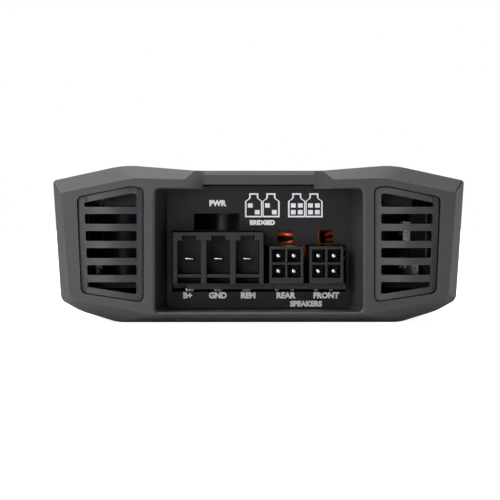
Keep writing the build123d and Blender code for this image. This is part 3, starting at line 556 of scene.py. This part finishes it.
def coated(name, colour, grain=2600.0, wear=0.5, streaks=0.0, coat_roughness=(0.40, 0.52)):
    """Powder coat on metal: fine orange peel, uneven tone, rubbed edges, painted shade in grooves and
    corners, and a little dust.
    """
    finish = Finish(name, tuple(colour), 0.45, Specular_IOR_Level=0.5)
    peel = finish.group("Surface grain", Grain=grain, Wave=grain / 5, Patch=22.0)
    finish.mix(peel.outputs["Tone"], shade(colour, 1.16), 0.8)
    finish.mix(peel.outputs["Speck"], shade(colour, 1.7), 0.35)
    rubbed = finish.group("Edge wear", Radius=0.00035, Break=700.0)
    finish.mix(rubbed.outputs["Mask"], shade(colour, 3.2), wear)
    # painted shade: grooves and corners painted darker, where shade falls
    crevice_shade = finish.group("Crevice shade", Reach=0.0012)
    finish.mix(crevice_shade.outputs["Mask"], shade(colour, 0.25), 0.6)
    dust = finish.group("Settled dust", Patch=260.0)
    finish.mix(dust.outputs["Mask"], (0.34, 0.34, 0.35), 0.035)
    finish.roughen(peel.outputs["Tone"], *coat_roughness)
    finish.add_height(peel.outputs["Height"], 0.00005)
    if streaks:
        drawn = finish.group("Drawn streaks", Across=1500.0, Along=9.0)
        finish.add_height(drawn.outputs["Streak"], streaks)
    return finish.done(0.55)


def moulded(name, colour, grain=3200.0, roughness=(0.38, 0.52), wear=0.35, relief=0.00003, crevice_shade_strength=0.5):
    """Moulded plastic with spark-eroded texture and painted shade in its grooves and corners."""
    finish = Finish(name, tuple(colour), 0.45, Specular_IOR_Level=0.32)
    skin = finish.group("Surface grain", Grain=grain, Wave=grain / 4, Patch=60.0)
    finish.mix(skin.outputs["Tone"], shade(colour, 1.35), 0.7)
    rubbed = finish.group("Edge wear", Radius=0.0002, Break=1200.0)
    finish.mix(rubbed.outputs["Mask"], shade(colour, 3.0), wear)
    # painted shade: grooves and corners painted darker, by the given strength
    crevice_shade = finish.group("Crevice shade", Reach=0.0008)
    finish.mix(crevice_shade.outputs["Mask"], shade(colour, 0.3), crevice_shade_strength)
    finish.roughen(skin.outputs["Tone"], *roughness)
    finish.add_height(skin.outputs["Height"], relief)
    return finish.done(0.6)


def plated(name, colour, roughness=(0.18, 0.34), streaks=True):
    """Plated metal with drawn streaks and dull patches."""
    finish = Finish(name, tuple(colour), 0.3, metallic=1.0)
    skin = finish.group("Surface grain", Grain=3000.0, Wave=500.0, Patch=120.0)
    finish.mix(skin.outputs["Tone"], shade(colour, 0.72), 0.8)
    finish.roughen(skin.outputs["Tone"], *roughness)
    if streaks:
        drawn = finish.group("Drawn streaks", Across=3000.0, Along=60.0)
        finish.add_height(drawn.outputs["Streak"], 0.000006)
    finish.add_height(skin.outputs["Height"], 0.000008)
    return finish.done(0.5)


def solder_mask(colour):
    """Green board: mask over copper tracks and ground areas."""
    finish = Finish("board mask", tuple(colour), 0.5, Specular_IOR_Level=0.3)
    tree = finish.tree
    tracks = add_node(tree, "TexBrick", offset=0.37, squash=1.0)
    tracks.inputs["Scale"].default_value = 60.0
    tracks.inputs["Mortar Size"].default_value = 0.018
    tracks.inputs["Brick Width"].default_value = 0.7
    tracks.inputs["Row Height"].default_value = 0.16
    wire(tree, finish.place, tracks.inputs["Vector"])
    areas = scaled_noise(tree, finish.place, 70.0, 0.0, 0.5)
    island = spread(tree, areas, 0.5, 0.515)
    raised = math_node(tree, "MAXIMUM", tracks.outputs["Fac"], island)
    finish.mix(raised, shade(colour, 2.1), 0.85)
    skin = finish.group("Surface grain", Grain=2500.0, Wave=900.0, Patch=50.0)
    finish.mix(skin.outputs["Tone"], shade(colour, 0.6), 0.4)
    finish.roughen(skin.outputs["Tone"], 0.4, 0.55)
    finish.add_height(raised, 0.00004)
    return finish.done(0.8)


def enamelled_wire(colour):
    """Enamelled copper: warm, clear varnish with darker runs."""
    finish = Finish(
        "enamelled copper", tuple(colour), 0.3, metallic=0.35, Coat_Weight=0.6, Coat_Roughness=0.12
    )
    skin = finish.group("Surface grain", Grain=2200.0, Wave=600.0, Patch=180.0)
    finish.mix(skin.outputs["Tone"], shade(colour, 0.55), 0.75)
    finish.roughen(skin.outputs["Speck"], 0.24, 0.4)
    finish.add_height(skin.outputs["Height"], 0.00002)
    return finish.done(0.5)


def sleeve():
    """Shrink sleeve of a capacitor: dark blue-black gloss with paler patches."""
    finish = Finish("shrink sleeve", (0.010, 0.011, 0.016), 0.4, Specular_IOR_Level=0.35)
    skin = finish.group("Surface grain", Grain=1200.0, Wave=260.0, Patch=90.0)
    finish.mix(skin.outputs["Tone"], (0.022, 0.026, 0.045), 0.8)
    finish.roughen(skin.outputs["Tone"], 0.36, 0.5)
    finish.add_height(skin.outputs["Height"], 0.00004)
    return finish.done(0.5)


def lamp():
    """Clear tinted lens over a small lit chip."""
    finish = Finish(
        "lamp lens", (0.10, 0.35, 0.85), 0.12, Transmission_Weight=0.55, IOR=1.49, Emission_Strength=0.15
    )
    finish.shader.inputs["Emission Color"].default_value = (0.08, 0.3, 1.0, 1.0)
    skin = finish.group("Surface grain", Grain=900.0, Wave=300.0, Patch=200.0)
    finish.mix(skin.outputs["Tone"], (0.16, 0.45, 0.95), 0.6)
    finish.roughen(skin.outputs["Tone"], 0.08, 0.18)
    return finish.done()


def make_finishes():
    """Every material of the amplifier, by the record's slot."""
    look = bpy.context.scene.amplifier_finish
    for build in (grain_group, wear_group, streak_group, dust_group, crevice_shade_group):
        build()
    return {
        "cast_housing": coated("housing coat", look.coat),
        "heatsink": coated("heatsink coat", shade(look.coat, 0.92), streaks=0.00002),
        "base_steel": coated("base paint", (0.025, 0.025, 0.026), grain=1800.0, wear=0.25),
        "zinc_screw": plated("zinc", (0.58, 0.58, 0.60), (0.25, 0.42)),
        "panel_black": moulded("panel texture", look.panel, 2400.0, (0.5, 0.66), 0.3, 0.00004),
        "circuit_board": solder_mask(look.mask),
        "connector_black": moulded("connector body", look.connector),
        "tinned_pin": plated("tinned brass", (0.74, 0.72, 0.66)),
        "ferrite": moulded("ferrite", (0.045, 0.045, 0.048), 1500.0, (0.55, 0.7), 0.3, 0.00008),
        "copper_wire": enamelled_wire(look.copper),
        "capacitor_sleeve": sleeve(),
        "film_capacitor": moulded("dipped film", (0.45, 0.035, 0.02), 900.0, (0.18, 0.3), 0.1, 0.00004),
        "chip_epoxy": moulded("chip epoxy", (0.018, 0.018, 0.019), 2600.0, (0.45, 0.6), 0.15),
        "thermal_pad": moulded("thermal pad", (0.36, 0.40, 0.42), 1800.0, (0.7, 0.85), 0.0, 0.00005),
        "clamp_steel": plated("clamp steel", (0.62, 0.62, 0.63), (0.2, 0.36)),
        "nickel": plated("nickel", (0.70, 0.67, 0.60), (0.12, 0.24), streaks=False),
        # the adjusters get the strongest painted shade, which darkens their pointer slots
        "adjuster_plastic": moulded(
            "adjuster nylon", (0.52, 0.51, 0.475), 2200.0, (0.4, 0.55), 0.0, crevice_shade_strength=1.0
        ),
        "slider_plastic": moulded("slider nylon", (0.05, 0.05, 0.05), 2200.0, (0.4, 0.55), 0.4),
        "lamp_lens": lamp(),
        "ink": moulded("panel ink", look.ink, 3600.0, (0.6, 0.75), 0.0, 0.00001),
        "red_ring": moulded("red insulator", (0.45, 0.02, 0.02), 2600.0, (0.3, 0.4), 0.0),
        "white_ring": moulded("white insulator", (0.75, 0.75, 0.72), 2600.0, (0.3, 0.4), 0.0),
    }


# ------------------------------------------------------------------ windings

def ring_wire(name, node, hole_share, wire_diameter, upright, turn_share=0.94):
    """One layer of round wire wound on each ring core of a node, with both ends run to the board."""
    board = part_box("main_board")[1].z
    low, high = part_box(node)
    across, along = (high.z - low.z, high.y - low.y)
    if upright:
        across, along = along, across
    outer = across / 2
    inside = outer * hole_share - CORE_GAP - wire_diameter / 2
    outside = outer + CORE_GAP + wire_diameter / 2
    half = along / 2 + CORE_GAP + wire_diameter / 2
    turns = int(tau * inside * turn_share / wire_diameter)
    curve = bpy.data.curves.new(name, "CURVE")
    curve.dimensions = "3D"
    curve.bevel_depth = wire_diameter / 2 * WIRE_FILL
    curve.bevel_resolution = 1
    curve.resolution_u = 2
    for centre in ring_centres(low, high, outer, upright):
        points = ring_points(centre, inside, outside, half, turns, turn_share, upright)
        starts, ends = (lead_to_board(points[end], board) for end in (0, -1))
        points = starts[::-1] + points + ends
        spline = curve.splines.new("NURBS")
        spline.points.add(len(points) - 1)
        for place, point in zip(spline.points, points):
            place.co = (*point, 1.0)
        spline.order_u = 3
        spline.use_endpoint_u = True
    piece = mesh_of_curve(curve)
    bpy.ops.object.shade_smooth()
    return piece


def ring_points(centre, inside, outside, half, turns, turn_share, upright):
    """Points of a wire that winds through and round a ring, which lies on its side or stands."""
    middle, reach = (inside + outside) / 2, (outside - inside) / 2
    points = []
    for step in range(turns * TURN_STEPS + 1):
        round_wire = tau * step / TURN_STEPS
        round_ring = tau * (turn_share * step / (turns * TURN_STEPS) + (1 - turn_share) / 2) + pi / 2
        radial = middle + reach * squared(cos(round_wire))
        along = half * squared(sin(round_wire))
        if upright:
            place = (radial * cos(round_ring), radial * sin(round_ring), along)
        else:
            place = (radial * cos(round_ring), along, radial * sin(round_ring))
        points.append(centre + Vector(place))
    return points


def lead_to_board(point, board):
    """Two more points, which take a wire's end straight down to the board."""
    foot = Vector((point.x, point.y, board))
    return [(point + foot) / 2, foot]


def squared(value):
    """Pushes a cosine or sine towards a square wave, so that a turn hugs a flat-sided core."""
    return abs(value) ** 0.45 * (1 if value > 0 else -1)


def ring_centres(low, high, outer, upright):
    """Middles of the ring cores in a row along X inside a box."""
    middle = (low + high) / 2
    if not upright or high.x - low.x < 3 * outer:
        return [middle]
    rings = round((high.x - low.x) / (2.5 * outer))
    pitch = (high.x - low.x - 2 * outer) / (rings - 1)
    return [Vector((low.x + outer + ring * pitch, middle.y, middle.z)) for ring in range(rings)]


# ------------------------------------------------------------------ printed words and symbols

# word, x and z of its middle, height of its capitals, all in millimetres
POWER_WORDS = (
    ("PWR", -11.1, 31.9, 1.45),
    ("B+", -19.3, 6.6, 1.5),
    ("GND", -11.0, 6.6, 1.5),
    ("REM", -2.7, 6.6, 1.5),
    ("REAR", 7.6, 6.6, 1.5),
    ("FRONT", 18.7, 6.6, 1.5),
    ("SPEAKERS", 13.2, 4.3, 1.4),
    ("BRIDGED", 1.2, 26.6, 1.15),
)
INPUT_WORDS = (
    ("GAIN", -12.5, 33.6, 1.5),
    ("X-OVER", -12.5, 23.3, 0.95),
    ("HP  FLAT  LP", -12.7, 15.0, 0.85),
    ("FRONT", -7.0, 9.4, 1.3),
    ("REAR", -18.0, 9.4, 1.3),
    ("MODE", -12.7, 7.2, 1.1),
    ("INPUT", 11.5, 9.0, 1.5),
    ("L", 5.0, 6.3, 1.5),
    ("R", 18.0, 6.3, 1.5),
)


def stand_on_panel(piece, x, z, face_y, outward):
    """Turns flat ink upright and stands it on a panel's face, read from outside."""
    ink_thick = bpy.context.scene.amplifier_shape.ink_thick
    piece.rotation_euler = (pi / 2, 0, 0 if outward < 0 else pi)
    piece.location = (x, face_y + outward * ink_thick, z)
    apply_place(piece)
    return piece


def print_word(word, x, z, height, face_y, outward):
    """One word as a thin slab of ink."""
    select_none()
    bpy.ops.object.text_add()
    text = bpy.context.object
    text.data.body = word
    text.data.size = height * MM / CAPITAL_SHARE
    text.data.align_x = "CENTER"
    text.data.align_y = "CENTER"
    text.data.extrude = bpy.context.scene.amplifier_shape.ink_thick
    text.data.offset = INK_SPREAD
    text.data.resolution_u = 3
    bpy.ops.object.convert(target="MESH")
    return stand_on_panel(bpy.context.object, x * MM, z * MM, face_y, outward)


def ink_loops(name, loops, face_y, outward):
    """Flat ink made of closed loops of (x, z) in millimetres, where a loop inside another is a hole."""
    curve = bpy.data.curves.new(name, "CURVE")
    curve.dimensions = "2D"
    curve.fill_mode = "BOTH"
    curve.extrude = bpy.context.scene.amplifier_shape.ink_thick
    for loop in loops:
        spline = curve.splines.new("POLY")
        spline.points.add(len(loop) - 1)
        spline.use_cyclic_u = True
        for place, (x, z) in zip(spline.points, loop):
            place.co = (x * MM * -outward, z * MM, 0.0, 1.0)
    return stand_on_panel(mesh_of_curve(curve), 0, 0, face_y, outward)


def box_loop(x, z, half_x, half_z):
    """Rectangle about a middle."""
    left, right, bottom, top = x - half_x, x + half_x, z - half_z, z + half_z
    return [(left, bottom), (right, bottom), (right, top), (left, top)]


def plug_loop(x, z, inset):
    """Outline of a 2x2 plug seen from the front: chamfered shoulders and a latch on top."""
    half, rise, latch, top = 2.4 - inset, 5.0, 1.25 - inset, 6.6 - inset
    return [
        (x - half, z + inset),
        (x + half, z + inset),
        (x + half, z + rise - 0.6),
        (x + latch + 0.3, z + rise),
        (x + latch, z + rise + 0.4),
        (x + latch, z + top),
        (x - latch, z + top),
        (x - latch, z + rise + 0.4),
        (x - latch - 0.3, z + rise),
        (x - half, z + rise - 0.6),
    ]


def plug_symbol(x, z, filled):
    """Two plugs side by side, with the filled ones of their 2x2 pins drawn as squares."""
    stroke = 0.42
    loops = []
    for side in (-1, 1):
        middle = x + side * 2.35
        loops += [plug_loop(middle, z, 0.0), plug_loop(middle, z, stroke)]
        for column in (-1, 1):
            for row in (0, 1):
                if (column, row) in filled:
                    loops.append(box_loop(middle + column * 0.95, z + 1.4 + row * 1.85, 0.66, 0.6))
    return loops


def dial_ticks(x, z, radius):
    """Ticks round an adjuster, over its turn, the first and last one longer."""
    loops = []
    ticks = 11
    for tick in range(ticks):
        turn = radians(-140 + 280 * tick / (ticks - 1))
        length = 1.0 if tick in (0, ticks // 2, ticks - 1) else 0.6
        out = Vector((sin(turn), cos(turn)))
        side = Vector((cos(turn), -sin(turn))) * 0.11
        near = Vector((x, z)) + out * radius
        far = near + out * length
        loops.append([tuple(near - side), tuple(near + side), tuple(far + side), tuple(far - side)])
    return loops


def join_as(name, pieces, slot_name):
    """Joins ink pieces into one, painted and fixed to the housing."""
    select_only(*pieces)
    bpy.ops.object.join()
    piece = bpy.context.object
    piece.name = name
    piece.data.name = name
    paint(piece, FINISHES[slot_name])
    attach(piece, HOUSING)
    return piece


# ------------------------------------------------------------------ operators

class AMPLIFIER_OT_finishes(bpy.types.Operator):
    """Make the materials and give them to the CAD nodes"""

    bl_idname = "amplifier.finishes"
    bl_label = "Finishes"

    def execute(self, context):
        FINISHES.update(make_finishes())
        for part in frame["record"]["subparts"]:
            paint_nodes(FINISHES[part["material_slot"]], part["node"])
        return {"FINISHED"}


class AMPLIFIER_OT_housing(bpy.types.Operator):
    """Round the edges of the end frames, grilles, heatsink and base plate"""

    bl_idname = "amplifier.housing"
    bl_label = "Housing"

    def execute(self, context):
        shape = context.scene.amplifier_shape
        for end in ("power", "input"):
            soften(f"{end}_end_frame", shape.cast_edge, "cast_housing", 3)
            for side in ("left", "right"):
                soften(f"{end}_{side}_grille", shape.vent_edge, "cast_housing", 3, shape=bow_bars)
        soften("heatsink_shell", shape.fin_edge, "heatsink")
        soften("base_plate", shape.plate_edge, "base_steel")
        return {"FINISHED"}


class AMPLIFIER_OT_connectors(bpy.types.Operator):
    """Round the edges of the panels, headers, pins, board and RCA parts"""

    bl_idname = "amplifier.connectors"
    bl_label = "Connectors"

    def execute(self, context):
        shape = context.scene.amplifier_shape
        moulded_nodes = ("power_header", "rear_speaker_header", "front_speaker_header", "rca_block")
        plates = (
            ("power_end_panel", "panel_black"),
            ("input_end_panel", "panel_black"),
            ("main_board", "circuit_board"),
            ("power_header_blades", "tinned_pin"),
            ("rear_speaker_pins", "tinned_pin"),
            ("front_speaker_pins", "tinned_pin"),
            ("rca_shields", "nickel"),
            ("rca_contacts", "nickel"),
        )
        for node in moulded_nodes:
            soften(node, shape.moulded_edge, "connector_black")
        for node, slot_name in plates:
            soften(node, shape.plate_edge, slot_name)
        return {"FINISHED"}


class AMPLIFIER_OT_controls(bpy.types.Operator):
    """Round the edges of the adjusters and sliders"""

    bl_idname = "amplifier.controls"
    bl_label = "Controls"

    def execute(self, context):
        shape = context.scene.amplifier_shape
        for node in sorted(frame["nodes"]):
            if node.endswith("_adjuster"):
                soften(node, shape.plate_edge * 2, "adjuster_plastic")
            if node.endswith("_slider"):
                soften(node, shape.plate_edge, "slider_plastic")
        return {"FINISHED"}


class AMPLIFIER_OT_windings(bpy.types.Operator):
    """Wind real wire on the choke, the transformer and the output inductors"""

    bl_idname = "amplifier.windings"
    bl_label = "Windings"

    def execute(self, context):
        plans = (
            ("input_choke", "input_choke_core", "input_choke_winding", 0.52, 1.35 * MM, False),
            ("transformer", "transformer_core", "transformer_winding", 8.0 / 17.5, 1.35 * MM, True),
            (
                "output_inductor", "output_inductor_cores", "output_inductor_windings",
                3.0 / 6.4, 0.85 * MM, True,
            ),
        )
        for name, core, winding, hole_share, wire_diameter, upright in plans:
            piece = ring_wire(name + "_wire", core, hole_share, wire_diameter, upright)
            paint(piece, FINISHES["copper_wire"])
            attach(piece, HOUSING)
            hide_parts(winding)
        return {"FINISHED"}


class AMPLIFIER_OT_lettering(bpy.types.Operator):
    """Print the words and symbols on both panels"""

    bl_idname = "amplifier.lettering"
    bl_label = "Lettering"

    def execute(self, context):
        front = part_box("power_end_panel")[0].y
        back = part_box("input_end_panel")[1].y
        join_as("power_end_words", [print_word(*word, front, -1) for word in POWER_WORDS], "ink")
        symbols = plug_symbol(1.2, 28.1, ((-1, 1), (1, 0)))
        symbols += plug_symbol(13.0, 28.1, ((-1, 1), (1, 1), (-1, 0), (1, 0)))
        join_as("power_end_symbols", [ink_loops("symbols", symbols, front, -1)], "ink")
        join_as("input_end_words", [print_word(*word, back, 1) for word in INPUT_WORDS], "ink")
        ticks = []
        for node in sorted(frame["nodes"]):
            if node.endswith("_adjuster"):
                low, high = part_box(node)
                middle = (low + high) / 2
                ticks += dial_ticks(middle.x / MM, middle.z / MM, (high.x - low.x) / 2 / MM + 0.75)
        join_as("input_end_ticks", [ink_loops("ticks", ticks, back, 1)], "ink")
        return {"FINISHED"}


class AMPLIFIER_OT_jack_rings(bpy.types.Operator):
    """Colour rings in the four input jacks: white for left, red for right"""

    bl_idname = "amplifier.jack_rings"
    bl_label = "Jack rings"

    def execute(self, context):
        low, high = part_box("rca_shields")
        insulator_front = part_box("rca_block")[1].y
        columns = (
            ("left_jack_rings", low.x + JACK_RADIUS, "white_ring"),
            ("right_jack_rings", high.x - JACK_RADIUS, "red_ring"),
        )
        rows = (low.z + JACK_RADIUS, high.z - JACK_RADIUS)
        for name, x, slot_name in columns:
            rings = [self.ring(x, z, insulator_front) for z in rows]
            join_as(name, rings, slot_name)
        return {"FINISHED"}

    def ring(self, x, z, y):
        """Thin ring between a jack's shield and its contact."""
        select_none()
        bpy.ops.mesh.primitive_cylinder_add(
            vertices=48, radius=RING_RADIUS, depth=RING_THICK, end_fill_type="NGON",
            location=(x, y + RING_LIFT, z), rotation=(pi / 2, 0, 0),
        )
        ring = bpy.context.object
        bpy.ops.object.mode_set(mode="EDIT")
        bpy.ops.mesh.select_mode(type="FACE")
        bpy.ops.mesh.select_all(action="DESELECT")
        bpy.ops.object.mode_set(mode="OBJECT")
        for face in ring.data.polygons:
            face.select = len(face.vertices) > 4
        bpy.ops.object.mode_set(mode="EDIT")
        bpy.ops.mesh.inset(thickness=RING_WIDTH)
        bpy.ops.mesh.bridge_edge_loops()
        bpy.ops.object.mode_set(mode="OBJECT")
        edge = ring.modifiers.new("edge", "BEVEL")
        edge.width = 0.08 * MM
        edge.segments = 2
        edge.limit_method = "ANGLE"
        apply_modifiers(ring)
        apply_place(ring)
        bpy.ops.object.shade_smooth_by_angle(angle=radians(40))
        return ring


class AMPLIFIER_OT_studio(bpy.types.Operator):
    """Floor, white room, softboxes and camera"""

    bl_idname = "amplifier.studio"
    bl_label = "Studio"

    def execute(self, context):
        studio = context.scene.amplifier_studio
        self.floor(studio.floor_glow)
        self.room(studio.ambient)
        target = Vector((0, FRONT_FACE, SPAN.z / 2))
        self.softbox("key", (-0.21, FRONT_FACE - 0.12, 0.19), target, (0.18, 0.16), studio.key_power)
        self.softbox("top", (-0.05, FRONT_FACE - 0.02, 0.75), target, (0.9, 0.5), studio.top_power)
        self.softbox("fill", (-0.30, FRONT_FACE - 0.80, 0.10), target, (0.5, 0.3), studio.fill_power)
        self.softbox("right", (0.60, FRONT_FACE + 0.02, 0.04), target, (0.16, 0.4), studio.rim_power)
        self.softbox("left", (-0.62, FRONT_FACE + 0.16, 0.10), target, (0.2, 0.5), studio.rim_power * 0.2)
        top_edge = Vector((-0.03, FRONT_FACE, 0.04))
        self.softbox("back", (-0.4, HIGH.y + 1.1, 0.9), top_edge, (2.6, 1.5), studio.back_power)
        self.glint(studio.glint_power)
        self.camera(studio)
        context.scene.view_settings.view_transform = "Standard"
        return {"FINISHED"}

    def floor(self, glow):
        """Large pale floor with a dull, faintly uneven paint."""
        select_none()
        bpy.ops.mesh.primitive_circle_add(
            vertices=96, radius=1.6, fill_type="NGON", location=(0, 0, LOW.z - 0.2 * MM)
        )
        floor = bpy.context.object
        floor.name = "studio_floor"
        apply_place(floor)
        finish = Finish("floor paint", (0.90, 0.90, 0.90), 0.8)
        skin = finish.group("Surface grain", Grain=300.0, Wave=60.0, Patch=3.0)
        finish.mix(skin.outputs["Tone"], (0.87, 0.87, 0.87), 0.6)
        finish.shader.inputs["Emission Color"].default_value = (1.0, 1.0, 1.0, 1.0)
        shown = add_node(finish.tree, "LightPath").outputs["Is Camera Ray"]
        emission = math_node(finish.tree, "MULTIPLY", shown, glow)
        wire(finish.tree, emission, finish.shader.inputs["Emission Strength"])
        paint(floor, finish.done())

    def room(self, ambient):
        """White room that lights the scene less than it shows."""
        world = bpy.data.worlds.new("studio")
        bpy.context.scene.world = world
        world.use_nodes = True
        tree = world.node_tree
        shown = add_node(tree, "LightPath").outputs["Is Camera Ray"]
        strength = spread(tree, shown, 0.0, 1.0, ambient, 1.0)
        backdrop = tree.nodes["Background"]
        backdrop.inputs["Color"].default_value = (1.0, 1.0, 1.0, 1.0)
        wire(tree, strength, backdrop.inputs["Strength"])

    def softbox(self, name, place, target, size, power):
        """Rectangular soft light aimed at a point and hidden from the camera."""
        light = bpy.data.lights.new(name, "AREA")
        light.shape = "RECTANGLE"
        light.size, light.size_y = size
        light.energy = power
        lamp_object = bpy.data.objects.new(name, light)
        bpy.context.collection.objects.link(lamp_object)
        lamp_object.location = place
        aim = target - Vector(place)
        lamp_object.rotation_euler = aim.to_track_quat("-Z", "Y").to_euler()
        lamp_object.visible_camera = False

    def glint(self, power):
        """Tiny lamp inside, beside the choke, which warms the window in front of it."""
        low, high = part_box("input_choke_core")
        header_low, header_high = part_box("rear_speaker_header")
        latch_x = (header_low.x + header_high.x) / 2
        light = bpy.data.lights.new("glint", "POINT")
        light.energy = power
        light.shadow_soft_size = 0.8 * MM
        light.color = (1.0, 0.5, 0.38)
        lamp_object = bpy.data.objects.new("glint", light)
        bpy.context.collection.objects.link(lamp_object)
        lamp_object.location = (latch_x + 1.5 * MM, low.y - 4.0 * MM, (low.z + high.z) / 2 + 3.5 * MM)
        lamp_object.visible_camera = False

    def camera(self, studio):
        """Camera almost level with the power end."""
        camera = bpy.data.objects.new("camera", bpy.data.cameras.new("camera"))
        bpy.context.collection.objects.link(camera)
        target = Vector((-2.4 * MM, FRONT_FACE, 19.5 * MM))
        turn, rise = studio.azimuth, studio.elevation
        back = Vector((sin(turn) * cos(rise), -cos(turn) * cos(rise), sin(rise)))
        camera.location = target + back * studio.distance
        camera.rotation_euler = (-back).to_track_quat("-Z", "Y").to_euler()
        camera.data.lens = studio.lens
        camera.data.clip_start = 0.01
        camera.data.clip_end = 30.0
        bpy.context.scene.camera = camera


class AMPLIFIER_PT_panel(bpy.types.Panel):
    """Sidebar panel with every step"""

    bl_idname = "AMPLIFIER_PT_panel"
    bl_label = "Car Amplifier"
    bl_space_type = "VIEW_3D"
    bl_region_type = "UI"
    bl_category = "Amplifier"

    def draw(self, context):
        for step in STEPS:
            self.layout.operator(step.bl_idname)
        for group in ("amplifier_finish", "amplifier_shape", "amplifier_studio"):
            settings = getattr(context.scene, group)
            box = self.layout.box()
            for name in settings.__annotations__:
                box.prop(settings, name)


STEPS = (
    AMPLIFIER_OT_finishes,
    AMPLIFIER_OT_housing,
    AMPLIFIER_OT_connectors,
    AMPLIFIER_OT_controls,
    AMPLIFIER_OT_windings,
    AMPLIFIER_OT_lettering,
    AMPLIFIER_OT_jack_rings,
    AMPLIFIER_OT_studio,
)
SETTINGS = {
    "amplifier_finish": FinishSettings,
    "amplifier_shape": ShapeSettings,
    "amplifier_studio": StudioSettings,
}


def register():
    """Registers the settings, the operators and the panel."""
    for name, group in SETTINGS.items():
        bpy.utils.register_class(group)
        setattr(bpy.types.Scene, name, bpy.props.PointerProperty(type=group))
    for item in (*STEPS, AMPLIFIER_PT_panel):
        bpy.utils.register_class(item)


def unregister():
    """Takes everything off again."""
    for item in (AMPLIFIER_PT_panel, *reversed(STEPS)):
        bpy.utils.unregister_class(item)
    for name, group in SETTINGS.items():
        delattr(bpy.types.Scene, name)
        bpy.utils.unregister_class(group)


def main():
    """Builds everything in order."""
    register()
    for step in STEPS:
        category, name = step.bl_idname.split(".")
        getattr(getattr(bpy.ops, category), name)()


if __name__ == "__main__":
    main()
